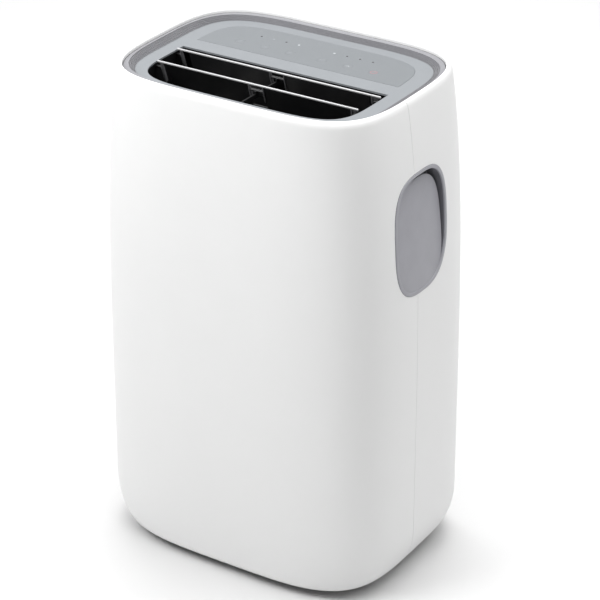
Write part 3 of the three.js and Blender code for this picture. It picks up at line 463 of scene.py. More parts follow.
WHITE = mottled("white_plastic", (0.80, 0.802, 0.80), 0.34, spread=0.004, scale=14, coat=0.12, bump=0.02)
RING_GREY = mottled("ring_grey", (0.212, 0.212, 0.226), 0.42, spread=0.03, bump=0.05)
GRIP_GREY = mottled("grip_grey", (0.335, 0.335, 0.365), 0.42, spread=0.03, bump=0.05)
# Painted shade: a darker grey for the grip's well, standing in for the shadow in the recess.
WELL_PAINTED_SHADE = mottled("well_painted_shade", (0.16, 0.16, 0.18), 0.5, spread=0.05, bump=0.05)
DECK_GREY = mottled("deck_grey", (0.2, 0.212, 0.225), 0.45, spread=0.02, bump=0.06)
PANEL_GREY = mottled("panel_grey", (0.16, 0.172, 0.183), 0.34, spread=0.015, scale=10, coat=0.3)
SILVER = mottled("silver_plastic", (0.46, 0.46, 0.47), 0.34, spread=0.02, coat=0.1)
# A lighter, shinier copy of the black plastic: painted light on the rear louver blade, which faces the
# light. The louver pins share it.
BLACK_LIT_COPY = mottled("black_lit_copy", (0.009, 0.009, 0.01), 0.4, spread=0.1, bump=0.03, shine=0.4)
BLACK = mottled("black_plastic", (0.004, 0.004, 0.0045), 0.5, spread=0.15, bump=0.05, shine=0.25)
ARM_GREY = mottled("arm_grey", (0.085, 0.085, 0.09), 0.4, spread=0.05, coat=0.1)
DARK = mottled("dark_plastic", (0.055, 0.055, 0.058), 0.5, spread=0.1, bump=0.1)
TREAD = mottled("caster_tread", (0.03, 0.03, 0.03), 0.7, spread=0.15, bump=0.2)
RUBBER = mottled("soft_rubber", (0.035, 0.035, 0.036), 0.75, spread=0.15, bump=0.2)
LENS = mottled("lamp_lens", (0.02, 0.02, 0.024), 0.25, spread=0.1, coat=0.5)
PALE_MARK = mottled("pale_mark", (0.42, 0.44, 0.46), 0.4, spread=0.02)
FAINT_MARK = mottled("faint_mark", (0.23, 0.245, 0.26), 0.4, spread=0.02)
RED_MARK = mottled("red_mark", (0.30, 0.15, 0.165), 0.4, spread=0.03)
KEY_INKS = {"key_power": (1.1, RED_MARK), "key_up": (0.9, PALE_MARK)}
LAMP_INKS = {-70: FAINT_MARK, -30: PALE_MARK, 26: PALE_MARK}
BOARD = mottled("circuit_board", (0.03, 0.12, 0.05), 0.35, spread=0.2, scale=120, coat=0.3)
FOAM = mottled("foam", (0.75, 0.75, 0.72), 0.9, spread=0.05, scale=300, bump=0.6, fine=300)
STEEL = mottled("bare_steel", (0.55, 0.56, 0.57), 0.35, spread=0.1, scale=160, metal=1.0, bump=0.05)
BLACK_PAINT = mottled("black_paint", (0.02, 0.02, 0.02), 0.35, spread=0.2, coat=0.3, bump=0.15, fine=400)
ALUMINIUM = mottled("aluminium_fins", (0.72, 0.73, 0.75), 0.35, spread=0.06, scale=200, metal=1.0)
COPPER = mottled("copper_pipe", (0.72, 0.34, 0.20), 0.3, spread=0.12, scale=90, metal=1.0)
FILTER = woven("filter_mesh", (0.30, 0.32, 0.34), 0.004)

# ---------------------------------------------------------------- casing


def casing_heights():
    """Heights close together in the foot's rounding, wide apart up the walls."""
    low, high = FOOT["face"][1], FOOT["side"][1]
    foot = [low * (1 - math.cos(math.radians(a))) for a in range(0, 90, 9)]
    side = [high * (1 - math.cos(math.radians(a))) for a in range(30, 91, 4)]
    wall = [80 + 20 * i for i in range(30)] + [668, 676]
    return [h for h in foot if h < low] + [h for h in side if h > low + 0.1] + wall


def casing_shell():
    """The whole shell: up its outside, over the crown and the lip, and down its inside."""
    heights = casing_heights()
    shoulder, reach = HEIGHT - CROWN["height"], CROWN["height"]
    crown = [shoulder + reach * math.sin(math.radians(a)) for a in range(0, 91, 9)]
    rings = [casing_ring(h) for h in heights if h < shoulder - 2]
    rings += [casing_ring(h) for h in crown]
    for angle in range(0, 91, 15):
        out = LIP["width"] * (1 - math.sin(math.radians(angle)))
        rings.append(top_ring(-GAP - out, HEIGHT - LIP["height"] * (1 - math.cos(math.radians(angle)))))
    rings += [top_ring(-GAP, HEIGHT - LIP["depth"]), casing_ring(HEIGHT - LIP["depth"], -WALL)]
    rings += [casing_ring(h, -WALL) for h in reversed(heights) if h < HEIGHT - LIP["depth"] - 5]
    return loft("shell", rings, closed=True)


def grip_outline(grow, drop=(0.0, 0.0)):
    """The grip's outline as (y, z) points: rounder at its lower rear corner than at the others."""
    a, b = GRIP["half_width"] + grow, GRIP["half_height"] + grow
    square = superellipse(a, b, GRIP_POWER)
    round_one = superellipse(a, b, GRIP_LOW_REAR_POWER)
    points = [r if s[0] > 0 and s[1] < 0 else s for s, r in zip(square, round_one)]
    return [(y + GRIP["y"] - drop[0], z + raised(GRIP["height"]) - drop[1]) for y, z in points]


def grip_hole():
    return prism("grip_hole", "x", grip_outline(GAP), -FAR, FAR)


def rear_hole(radius, x, height):
    outline, sides = [], 64
    for i in range(sides):
        angle = 2 * math.pi * i / sides
        outline.append((x + radius * math.cos(angle), raised(height) + radius * math.sin(angle)))
    return prism("hole", "y", outline, 100, FAR)


def casings():
    """The front and rear casings, parted at the seam, with the openings of all that sits in them."""
    shell = casing_shell()
    front = copied(shell, "front_shell")
    keep = block("keep", (-FAR, FAR), (-FAR, SEAM_Y - SEAM_GAP / 2), (-20, 800))
    boolean(front, "INTERSECT", keep)
    boolean(front, "DIFFERENCE", grip_hole())
    place(front, "cabinet", WHITE, "white_shell", "front_casing")
    rear = shell
    rear.name = "rear_shell"
    keep = block("keep", (-FAR, FAR), (SEAM_Y + SEAM_GAP / 2, FAR), (-20, 800))
    boolean(rear, "INTERSECT", keep)
    holes = [grip_hole()]
    for low, high in PANELS.values():
        holes.append(panel_block(low, high, 0))
    holes.append(rear_hole(EXHAUST["flange"] + 0.4, 0, EXHAUST["height"]))
    for drain in DRAINS.values():
        holes.append(rear_hole(DRAIN_FLANGE + 0.4, drain["x"], drain["height"]))
    holes.append(rear_hole(GLAND["flange"] + 0.4, GLAND["x"], GLAND["height"]))
    for hole in holes:
        boolean(rear, "DIFFERENCE", hole)
    place(rear, "cabinet", WHITE, "white_shell", "rear_casing")


def panel_block(low, high, inset):
    """The prism that a rear panel fills, with rounded corners."""
    corner = 5
    half = PANEL_HALF - inset
    outline = [(-half, raised(low + inset)), (half, raised(low + inset)), (half, raised(high - inset))]
    outline.append((-half, raised(high - inset)))
    return prism("panel", "y", rounded(outline, corner, 6), 60, FAR)


def intake_grille(level):
    """A slice of the rear wall with two columns of slots."""
    low, high = PANELS[level]
    heights = [low - 20 + 10 * i for i in range(int((high - low + 40) / 10) + 1)]
    rings = [casing_ring(h, 0) for h in heights] + [casing_ring(h, -WALL) for h in reversed(heights)]
    grille = loft(f"grille_{level}", rings, closed=True)
    boolean(grille, "INTERSECT", panel_block(low, high, 0.4))
    pitch = (high - low - 2 * PANEL_BORDER) / PANEL_ROWS
    edge = PANEL_HALF - PANEL_BORDER
    for row in range(PANEL_ROWS):
        start = low + PANEL_BORDER + (row + 0.25) * pitch
        for x0, x1 in ((-edge, -PANEL_MULLION), (PANEL_MULLION, edge)):
            z0, z1 = raised(start), raised(start + pitch / 2)
            outline = rounded([(x0, z0), (x1, z0), (x1, z1), (x0, z1)], 3, 4)
            boolean(grille, "DIFFERENCE", prism("slot", "y", outline, 60, FAR))
    place(grille, f"{level}_intake", WHITE, "white_shell", f"intake_grille_{level}")


# ---------------------------------------------------------------- top


def trim_ring():
    """The band, and a flight of steps down to the deck with a fine groove at the foot of each riser, each
    groove filled nearly to its lip with a dark strip of painted shade.
    """
    high, low = BAND["height"], DECK["height"] + 0.2
    side, face, wall = BAND["side"], BAND["face"], BAND["skirt_wall"]
    nose, groove, thin = 0.25, 0.8, 0.1

    def between(share, height):
        a, b = top_ring(side, height, face), deck_ring(GAP, height)
        return [tuple(p + (q - p) * share for p, q in zip(u, v)) for u, v in zip(a, b)]

    # A dark strip in a groove: painted shade standing in for the shadow there.
    def line(near, far):
        fill = groove - 0.15
        return loft("line", [near(-thin), near(fill), far(fill), far(-thin)], closed=True)

    def rim(inset):
        return lambda rise: top_ring(inset, high - groove + rise)

    rings = [top_ring(0, high - BAND["skirt"]), top_ring(0, high - groove), top_ring(0.9, high - groove)]
    rings += [top_ring(0.9, high - 0.1), top_ring(1.1, high)]
    lines = [line(rim(0.1), rim(0.8))]
    for step in range(BAND["steps"]):
        share = step / BAND["steps"]
        top = high + (low - high) * share
        foot = high + (low - high) * (step + 1) / BAND["steps"]
        rings += [between(share - 0.01, top), between(share, top - nose), between(share + 0.004, foot)]
        rings += [between(share + 0.085, foot), between(share + 0.088, foot - groove)]
        rings += [between(share + 0.195, foot - groove), between(share + 0.198, foot)]
        ledge = foot - groove
        near, far = share + 0.091, share + 0.192
        sides = [lambda rise, at=at: between(at, ledge + rise) for at in (near, far)]
        lines.append(line(*sides))
    rings += [deck_ring(GAP, low), deck_ring(GAP, low - 1.9), top_ring(side - 1, low - 2.4, face - 1)]
    rings += [top_ring(wall, high - 3), top_ring(wall, high - BAND["skirt"])]
    ring = loft("trim_band", rings, sharp=25, closed=True)
    place(ring, "cabinet", RING_GREY, "trim_grey", "trim_ring")
    # The dark strips are painted shade: the dark plastic colour stands in for the shadow in the grooves.
    place(joined("trim_groove_painted_shade", *lines), "cabinet", DARK, "trim_grey")


def clipped(shape, grow, y_low, y_high):
    """A superellipse's outline between two lines in Y."""
    points = superellipse(shape["half_width"] + grow, shape["half_depth"] + grow, shape["power"])
    a, b, p = shape["half_width"] + grow, shape["half_depth"] + grow, shape["power"]
    result = []
    for x, y in points:
        if y_low < y < y_high:
            result.append((x, y))
    for y in (y_low, y_high):
        if abs(y) < b:
            x = a * (1 - abs(y / b) ** p) ** (1 / p)
            result += [(-x, y), (x, y)]
    middle = (max(y_low, -b) + min(y_high, b)) / 2
    return sorted(result, key=lambda point: math.atan2(point[1] - middle, point[0]))


def top_deck():
    top, under = DECK["height"], DECK["height"] - DECK["thickness"]
    deck = loft("deck_plate", [deck_ring(0, under), deck_ring(0, top)])
    mouth = rounded(clipped(OPENING, 0, -FAR, OPENING["rear_y"]), 1.0, 3)
    boolean(deck, "DIFFERENCE", prism("mouth", "z", mouth, raised(under - 5), raised(top + 5)))
    recess = clipped(OVERLAY, 0.25, OVERLAY["front_y"] - 0.25, FAR)
    boolean(deck, "DIFFERENCE", prism("recess", "z", recess, raised(top - 1.8), raised(top + 5)))
    soften(deck, 0.5)
    place(deck, "cabinet", DECK_GREY, "deck_grey", "top_deck")


def overlay():
    low, high = raised(OVERLAY_TOP - OVERLAY["thickness"]), raised(OVERLAY_TOP)
    sheet = prism("overlay_film", "z", clipped(OVERLAY, 0, OVERLAY["front_y"], FAR), low, high)
    for x in KEYS.values():
        hole = turned("hole", "z", rod(KEY_HOLE, low - 1, high + 1), (x, KEY_Y, 0))
        boolean(sheet, "DIFFERENCE", hole)
    for x in LAMPS:
        hole = turned("hole", "z", rod(LAMP_HOLE, low - 1, high + 1), (x, LAMP_Y, 0), 24)
        boolean(sheet, "DIFFERENCE", hole)
    place(sheet, "cabinet", PANEL_GREY, "panel_grey", "control_overlay")


def stroke(points, width, z):
    """A thin flat line along points in X and Y, as one closed strip."""
    left, right = [], []
    for i, point in enumerate(points):
        before, after = Vector(points[max(i - 1, 0)]), Vector(points[min(i + 1, len(points) - 1)])
        side = (after - before).normalized().orthogonal() * width / 2
        left.append(tuple(Vector(point) + side))
        right.append(tuple(Vector(point) - side))
    vertices, faces = [], []
    for (lx, ly), (rx, ry) in zip(left, right):
        vertices += [(lx, ly, z), (rx, ry, z), (lx, ly, z + MARK_HEIGHT), (rx, ry, z + MARK_HEIGHT)]
    last = len(points) - 1
    for i in range(last):
        a, b = 4 * i, 4 * i + 4
        faces += [(a + 2, a + 3, b + 3, b + 2), (a, b, b + 1, a + 1)]
        faces += [(a, a + 2, b + 2, b), (a + 1, b + 1, b + 3, a + 3)]
    faces += [(0, 1, 3, 2), (4 * last, 4 * last + 2, 4 * last + 3, 4 * last + 1)]
    return mesh_object("stroke", vertices, faces)


def arc(centre, radius, start, end):
    """Points along an arc between two angles in degrees."""
    points, steps = [], 24
    for i in range(steps + 1):
        angle = math.radians(start + (end - start) * i / steps)
        points.append((centre[0] + radius * math.cos(angle), centre[1] + radius * math.sin(angle)))
    return points


def key_marks(name, x):
    """The generic signs on the keys, as lists of strokes."""
    y = KEY_Y
    thirds = ((1, 0), (-0.5, 0.87), (-0.5, -0.87))
    if name == "key_power":
        return [arc((x, y), 4.4, 125, 415), [(x, y + 1), (x, y + 5.4)]]
    if name == "key_up":
        return [[(x - 2.4, y - 1), (x, y + 1.6), (x + 2.4, y - 1)]]
    if name == "key_down":
        return [[(x - 2.4, y + 1), (x, y - 1.6), (x + 2.4, y + 1)]]
    if name == "key_fan":
        return [arc((x + 1.2 * c, y + 1.2 * s), 1.3, 0, 360) for c, s in thirds]
    if name == "key_mode":
        spokes = ((1, 0), (0.5, 0.87), (0.5, -0.87))
        return [[(x - 2.4 * c, y - 2.4 * s), (x + 2.4 * c, y + 2.4 * s)] for c, s in spokes]
    return [arc((x, y), 2.5, 0, 360), [(x, y + 1.6), (x, y), (x + 1.2, y)]]


def keys():
    top = raised(OVERLAY_TOP + KEY_PROUD)
    for name, x in KEYS.items():
        profile = [(0, top - 6.8), (2, top - 6.8), (2, top - 1.1), (KEY_RADIUS, top - 1.1)]
        profile += [(KEY_RADIUS, top - 0.15), (KEY_RADIUS - 0.15, top), (0, top)]
        cap = turned(f"{name}_disc", "z", profile, (x, KEY_Y, 0))
        place(cap, f"{name}_cap", PANEL_GREY, "panel_grey", name)
        width, ink = KEY_INKS.get(name, (MARK_WIDTH, FAINT_MARK))
        strokes = [stroke(points, width, top) for points in key_marks(name, x)]
        place(joined(f"{name}_mark", *strokes), f"{name}_cap", ink, "panel_grey")


def lamps():
    """The light guide under the deck with a pin in each window, and a small sign over each pin."""
    low, high, top = raised(DECK["height"] - 6), raised(DECK["height"] - 3), raised(OVERLAY_TOP)
    parts = [block("bar", (LAMPS[0] - 4, LAMPS[-1] + 4), (LAMP_Y - 4, LAMP_Y + 4), (low, high), 0.3)]
    for x in LAMPS:
        profile = [(0, high - 1), (LAMP_RADIUS, high - 1), (LAMP_RADIUS, top - 0.2), (0, top)]
        parts.append(turned("pin", "z", profile, (x, LAMP_Y, 0), 24))
    place(joined("lamp_guide", *parts), "cabinet", LENS, "light_guide", "lamp_light_guide")
    for x in LAMPS:
        profile = [(0, top - 0.4), (LAMP_SIGN, top - 0.1), (LAMP_SIGN, top + 0.04), (0, top + 0.05)]
        sign = turned(f"lamp_sign_{x + 200}", "z", profile, (x, LAMP_Y, 0), 24)
        place(sign, "cabinet", LAMP_INKS.get(x, LENS), "panel_grey")


# ---------------------------------------------------------------- outlet vanes


def louver_trim(which):
    """The edge strip with its gusseted arms and pins, made hanging straight down and then leant."""
    vane = LOUVERS[which]
    half, pin_end = vane["half"], vane["pin_end"]
    thick, low, high = STRIP["half_thick"], STRIP["low"], STRIP["high"]
    strip_profile = rounded([(-thick, low), (thick, low), (thick, high), (-thick, high)], 0.7, 3)
    strip = prism("strip", "x", strip_profile, -half, half, 0.3)
    foot, head, shoulder, top = ARM["foot"], ARM["head"], ARM["shoulder"], ARM["top"]

    def arm(x0, x1, drop):
        outline = [(-foot, -drop), (foot, -drop), (foot, shoulder)]
        outline += [(head, top), (-head, top), (-foot, shoulder)]
        return prism("arm", "x", rounded(outline, 1.2, 3), x0, x1, 0.25)

    left_x = [x - half for x in END_ARM["left_x"]]
    parts = [arm(*END_ARM["x"], END_ARM["drop"]), arm(*left_x, END_ARM["drop"])]
    parts += [arm(*MIDDLE_ARMS[side], MIDDLE_ARMS["drop"]) for side in ("left_x", "right_x")]
    outer_face = END_ARM["x"][1]
    gusset = [(outer_face, 8.8), (half, 8.8), (half, 7.8), (outer_face, -1.5)]
    parts.append(prism("gusset", "y", gusset, -0.5, 0.5, 0.15))
    pins = []
    spans = [(145, pin_end), (-min(pin_end, LEFT_PIN_LIMIT), left_x[0] + 1), (-MIDDLE_PIN, MIDDLE_PIN)]
    for start, end in spans:
        pins.append(turned("pin", "x", rod(PIN_RADIUS, start, end), (0, 0, 0), 24))
    pins.append(turned("crank", "x", rod(CRANK["radius"], *CRANK["x"]), (0, 0, -CRANK["drop"]), 20))
    pivot = Matrix.Translation(Vector((0, vane["y"], raised(PIVOT_HEIGHT))) * MM)
    leant = pivot @ Matrix.Rotation(LEAN, 4, "X")
    edge, arms = joined(f"louver_{which}_edge", strip), joined(f"louver_{which}_arms", *parts)
    place(moved(edge, leant), f"{which}_louver", SILVER, "silver_trim", f"louver_{which}_trim")
    place(moved(arms, leant), f"{which}_louver", ARM_GREY, "silver_trim")
    place(moved(joined(f"louver_{which}_pins", *pins), leant), f"{which}_louver", BLACK_LIT_COPY, "silver_trim")


# ---------------------------------------------------------------- hand grips


def floor_x(z, depth=0.0):
    """The grip's floor plane moved in by a depth, at a height in the final frame."""
    (x_low, z_low), (x_high, z_high) = GRIP_FLOOR
    return x_low + (x_high - x_low) * (z - FLOOR_GAP - z_low) / (z_high - z_low) - depth


def grip_tub():
    """The right-hand cup's rim, which follows the casing, and the tub behind it."""
    rim, wall = GRIP_RIM, GRIP_WALL

    def skin(inset, out):
        return [(casing_x(y, z - FLOOR_GAP) + out, y, z) for y, z in grip_outline(-inset)]

    def deep(inset, depth, scale=1.0):
        """A ring on a plane behind the floor, or behind the casing where that plane passes it."""
        ring = []
        for y, z in grip_outline(-inset):
            y = GRIP["y"] + (y - GRIP["y"]) * scale
            z = raised(GRIP["height"]) + (z - raised(GRIP["height"])) * scale
            ring.append((min(floor_x(z, depth), casing_x(y, z - FLOOR_GAP) - depth / 2), y, z))
        return ring

    back = GRIP_SLOT["depth"] + wall
    scales = (0.97, 0.9, 0.7, 0.45, 0.2, 0.002)
    rings = [skin(0.0, -WALL - 2.0), skin(0.0, 0.2), skin(0.15, 0.6), skin(0.5, GRIP_PROUD)]
    rings += [skin(rim - 1.4, GRIP_PROUD), skin(rim - 0.6, 0.5), skin(rim - 0.1, -0.4), skin(rim, -1.4)]
    rings += [deep(rim, back - 2)] + [deep(rim, back, scale) for scale in scales]
    rings += [deep(rim, back + wall, scale) for scale in scales[::-1]]
    rings += [deep(rim - wall, back), skin(rim - wall, -WALL - 4.0)]
    return loft("tub", rings, sharp=35, closed=True)


def grip_plate():
    """The sloping floor plate, which stops short of the tub's rear and upper walls."""
    rim, wall = GRIP_RIM, GRIP_WALL
    outline = grip_outline(-rim, (GRIP_SLOT["rear"], GRIP_SLOT["top"]))
    plate = prism("plate", "x", outline, 150, 260)
    boolean(plate, "INTERSECT", prism("keep", "x", grip_outline(1 - rim), 140, 270))
    low, high = raised(GRIP["height"] - 120), raised(GRIP["height"] + 120)
    slab = [(floor_x(z, depth), z) for z, depth in ((low, 0), (high, 0), (high, wall), (low, wall))]
    ends = [[(x, y, z) for x, z in slab] for y in (-200, 200)]
    boolean(plate, "INTERSECT", loft("slab", ends))
    heights = [raised(420 + 10 * i) for i in range(21)]
    outer = [casing_ring(h - FLOOR_GAP, -0.2) for h in heights]
    boolean(plate, "INTERSECT", loft("skin", outer))
    return soften(plate, 1.2, 3, 40)


def paint_well_shade(cup):
    """Paints shade on the faces of the well behind the rim and beside the floor plate: a darker grey that
    stands in for the shadow in the recess.
    """
    cup.data.materials.append(WELL_PAINTED_SHADE)
    for polygon in cup.data.polygons:
        x, y, z = polygon.center / MM
        behind_rim = casing_x(y, z - FLOOR_GAP) - x > GRIP_WELL_DEPTH
        on_plate = abs(x - floor_x(z)) < 0.4
        if behind_rim and not on_plate:
            polygon.material_index = 1


def grips():
    """The right-hand grip, and its mirror image on the left."""
    cup = joined("grip_shell_right", grip_tub(), grip_plate())
    shade(cup, 35)
    place(cup, "cabinet", GRIP_GREY, "trim_grey", "grip_cup_right")
    paint_well_shade(cup)
    left = mirrored(cup, "grip_shell_left")
    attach(left, "cabinet")
    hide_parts("grip_cup_left")


# ---------------------------------------------------------------- rear fittings


def exhaust():
    """The collar that the hose plugs into, and the wire guard inside it."""
    bore, tube, flange = EXHAUST["bore"], EXHAUST["tube"], EXHAUST["flange"]
    inner, face = EXHAUST_INNER_Y, EXHAUST_FACE_Y
    centre = (0, 0, raised(EXHAUST["height"]))
    profile = [(bore, inner), (tube, inner), (tube, face - FLANGE_THICK), (flange, face - FLANGE_THICK)]
    profile += [(flange, face), (bore + 1.2, face), (bore, face - 1.2)]
    collar = turned("collar_ring", "y", rounded(profile, 0.8), centre, 96)
    place(collar, "cabinet", WHITE, "white_shell", "exhaust_collar")
    outer = bore - 0.6
    ring = [(outer - 4, 124), (outer, 124), (outer, 127), (outer - 4, 127)]
    parts = [turned("ring", "y", rounded(ring, 0.8), centre, 96)]
    for rise in (-40, 0, 40):
        reach = math.sqrt((outer - 2) ** 2 - rise**2)
        zs = (centre[2] + rise - 1.5, centre[2] + rise + 1.5)
        parts.append(block("bar", (-reach, reach), (124.2, 126.8), zs, 0.6))
    zs = (centre[2] - outer + 2, centre[2] + outer - 2)
    parts.append(block("post", (-1.5, 1.5), (124.4, 126.6), zs, 0.6))
    place(joined("guard_grid", *parts), "cabinet", DARK, "dark_plastic", "exhaust_guard")


def drain_plugs():
    """A rubber stopper with a finger tab for each drain."""
    for level, drain in DRAINS.items():
        x, z, face, stem = drain["x"], raised(drain["height"]), drain["face_y"], drain["inner_y"]
        profile = [(0, stem), (5.7, stem), (5.7, face - 3), (DRAIN_FLANGE, face - 3)]
        profile += [(DRAIN_FLANGE, face - 1), (DRAIN_FLANGE - 1, face), (7, face)]
        profile += [(6.4, face - 0.8), (0, face - 0.8)]
        plug = turned(f"plug_{level}", "y", profile, (x, 0, z), 48)
        tab = block("tab", (x - 1.2, x + 1.2), (face - 1, face), (z - 5.5, z + 5.5), 0.3)
        stopper = joined(f"stopper_{level}", plug, tab)
        place(stopper, f"{level}_plug", RUBBER, "soft_rubber", f"drain_plug_{level}")


def cord_gland():
    bore, flange = GLAND["bore"], GLAND["flange"]
    profile = [(bore, 148), (flange, 148), (flange, 156.4), (flange - 1.2, 157.6)]
    profile += [(bore + 2, 157.8), (bore, 156.8)]
    gland = turned("gland_bush", "y", profile, (GLAND["x"], 0, raised(GLAND["height"])), 48)
    place(gland, "cabinet", RUBBER, "soft_rubber", "cord_gland")


# ---------------------------------------------------------------- casters


def caster_wheels():
    """A tread with a groove in each side and a hub, for each caster."""
    r, half = CASTER["radius"], CASTER["half_tread"]
    profile = [(3, -half + 1), (5.5, -half + 0.4), (6.5, -half), (8, -half + 1.6), (r - 5, -half + 1.6)]
    profile += [(r - 3.5, -half), (r - 1.2, -half), (r - 0.3, -half + 0.8), (r, -half + 2)]
    whole = profile + [(radius, -across) for radius, across in reversed(profile)]
    corners = {"front_left": (-1, -1), "front_right": (1, -1), "rear_left": (-1, 1), "rear_right": (1, 1)}
    for name, (sx, sy) in corners.items():
        centre = (sx * CASTER["x"] + CASTER["trail"], sy * CASTER["y"], r)
        wheel = turned(f"wheel_{name}", "y", whole, centre, 64)
        place(wheel, f"roller_{name}", TREAD, "caster_tread", f"caster_wheel_{name}")


# ---------------------------------------------------------------- machinery


def finned(name, node):
    """A coil: end plates, thin fins and round tubes with return bends, in the CAD coil's box."""
    low, high = (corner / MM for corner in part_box(node))
    x0, x1 = low.x + BEND_ROOM, high.x - BEND_ROOM
    parts = [block("plate", (x, x + 1.2), (low.y, high.y), (low.z, high.z), 0.2) for x in (x0, x1 - 1.2)]
    for i in range(1, COIL_FINS):
        x = x0 + (x1 - x0) * i / COIL_FINS
        ys, zs = (low.y + 0.5, high.y - 0.5), (low.z + 0.5, high.z - 0.5)
        parts.append(block("fin", (x - 0.3, x + 0.3), ys, zs))
    place(joined(name, *parts), "cabinet", ALUMINIUM, "aluminium_fins", node)
    tubes = []
    for row in range(COIL_ROWS):
        z = low.z + (row + 0.5) * (high.z - low.z) / COIL_ROWS
        for y in (low.y + 9, high.y - 9):
            tubes.append(turned("tube", "x", rod(COIL_TUBE, x0 - 2, x1 + 2), (0, y, z), 12))
        for side, end in ((-1, x0), (1, x1)):
            tubes.append(return_bend(end, side, low.y + 9, high.y - 9, z))
    place(joined(f"{name}_tubes", *tubes), "cabinet", COPPER, "copper_pipe")


def return_bend(x, side, y0, y1, z):
    """A half ring of tube that joins two straight runs."""
    radius, middle = (y1 - y0) / 2, (y0 + y1) / 2
    rings = []
    for i in range(13):
        angle = math.pi * i / 12
        out, across = math.sin(angle) * radius, -math.cos(angle) * radius
        ring = []
        for k in range(10):
            turn = 2 * math.pi * k / 10
            reach = COIL_TUBE * math.cos(turn)
            bend_x = x + side * (out + math.sin(angle) * reach)
            bend_y = middle + across - math.cos(angle) * reach
            ring.append((bend_x, bend_y, z + COIL_TUBE * math.sin(turn)))
        rings.append(ring)
    return loft("bend", rings)


def blower(which, radius, front, rear, centre):
    """A blower wheel: back disc, hub, shaft, front rim and curved blades."""
    disc = rounded([(SHAFT, front), (radius, front), (radius, front + 2.5), (SHAFT, front + 2.5)], 0.6)
    parts = [turned("disc", "y", disc, centre, 64)]
    hub = [(0, front), (11, front), (10, front + 30), (0, front + 30)]
    parts.append(turned("hub", "y", hub, centre, 32))
    parts.append(turned("shaft", "y", rod(SHAFT, front - 30, front + 5), centre, 24))
    rim = rounded([(radius - 9, rear - 3), (radius, rear - 3), (radius, rear), (radius - 9, rear)], 0.8)
    parts.append(turned("rim", "y", rim, centre, 64))
    for i in range(BLOWER_BLADES):
        blade = []
        for k in range(5):
            t = k / 4
            r = radius - 8.5 + 8 * t
            angle = 2 * math.pi * i / BLOWER_BLADES + 0.10 * t * t
            a = Vector((r * math.cos(angle), r * math.sin(angle)))
            n = Vector((-math.sin(angle), math.cos(angle))) * 0.5
            blade.append((tuple(a + n), tuple(a - n)))
        outline = [p for p, _ in blade] + [q for _, q in reversed(blade)]
        outline = [(u + centre[0], v + centre[2]) for u, v in outline]
        parts.append(prism("blade", "y", outline, front + 1, rear - 1))
    wheel = joined(f"{which}_rotor", *parts)
    place(wheel, f"{which}_fan", BLACK, "black_plastic", f"{which}_wheel")


def compressor():
    """The can with its welded seam, terminal and three-cornered foot, and the accumulator beside it."""
    centre = (-118, 0, 0)
    profile = [(0, 22), (40, 22), (46, 24), (50, 30), (50, 60), (51, 61), (51, 64), (50, 65), (50, 198)]
    profile += [(49, 208), (45, 218), (38, 226), (26, 231.5), (12, 233.7), (0, 234)]
    profile = [(r, raised(h)) for r, h in profile]
    parts = [turned("can", "z", profile, centre, 72)]
    parts.append(turned("stand", "z", rod(30, raised(16), raised(25)), centre, 32))
    corners = []
    for i in range(3):
        angle = 2 * math.pi * i / 3
        corners.append((centre[0] + 66 * math.cos(angle), 66 * math.sin(angle)))
        x, y = centre[0] + 50 * math.cos(angle), 50 * math.sin(angle)
        bush = [(r, raised(h)) for r, h in ((0, 5), (8, 5), (7, 8), (8, 10), (8, 15), (0, 15))]
        parts.append(turned("bush", "z", bush, (x, y, 0), 32))
    parts.append(prism("foot", "z", rounded(corners, 14, 6), raised(14), raised(18), 0.8))
    parts.append(block("terminal", (centre[0] - 12, centre[0] + 12), (-8, 8), (raised(228), raised(240)), 2))
    place(joined("compressor_can", *parts), "cabinet", BLACK_PAINT, "black_paint", "compressor")
    profile = [(0, 70), (10, 71), (16, 75), (19, 82), (19, 184), (17, 192), (12, 198), (4, 200), (0, 200)]
    vessel = turned("accumulator_can", "z", [(r, raised(h)) for r, h in profile], (-44, 48, 0), 48)
    place(vessel, "cabinet", BLACK_PAINT, "black_paint", "accumulator")


def motor(which, radius, x, height, front):
    """A round can with a groove round its middle and a bore for the wheel's shaft."""
    bore, neck = 4.6, radius - 1.2
    steps = [(0, 42), (radius - 8, 42), (radius - 3, 40), (radius, 35), (radius, 26), (radius, 25)]
    steps += [(neck, 24.4), (neck, 20), (radius, 19.4), (radius, 4), (radius - 2, 2)]
    steps += [(bore, 2), (bore, 30), (0, 30)]
    profile = [(r, front - back) for r, back in steps]
    can = turned(f"{which}_motor_can", "y", profile, (x, 0, raised(height)), 64)
    place(can, "cabinet", STEEL, "bare_steel", f"{which}_motor")


def kept_nodes():
    """CAD nodes that are shown as they are, with their edges rounded and their own material, save the rear
    blade, which gets a lighter black as painted light.
    """
    materials = {
        "black_plastic": BLACK,
        "dark_plastic": DARK,
        "circuit_board": BOARD,
        "filter_mesh": FILTER,
        "foam": FOAM,
        "bare_steel": STEEL,
        "copper_pipe": COPPER,
    }
    slots = {entry["node"]: entry["material_slot"] for entry in frame["record"]["subparts"]}
    for node, obj in sorted(frame["nodes"].items()):
        if obj.hide_render:
            continue
        obj.data.materials.clear()
        # The rear blade gets the lighter black copy as painted light for its lit face. The front blade keeps
        # its slot's black plastic.
        obj.data.materials.append(BLACK_LIT_COPY if node == "louver_rear_blade" else materials[slots[node]])
        for polygon in obj.data.polygons:
            polygon.use_smooth = True
        obj.data.set_sharp_from_angle(angle=math.radians(35))
        soften(obj, 0.4, 2, 40)


# ---------------------------------------------------------------- stage


CAMERA_AZIMUTH = math.radians(32.4)
CAMERA_EYE, CAMERA_TARGET = (1.5813, -2.4500, 1.8644), (0.0177, 0.0113, 0.3472)
CAMERA_LENS, CAMERA_SENSOR = 142.8, 36


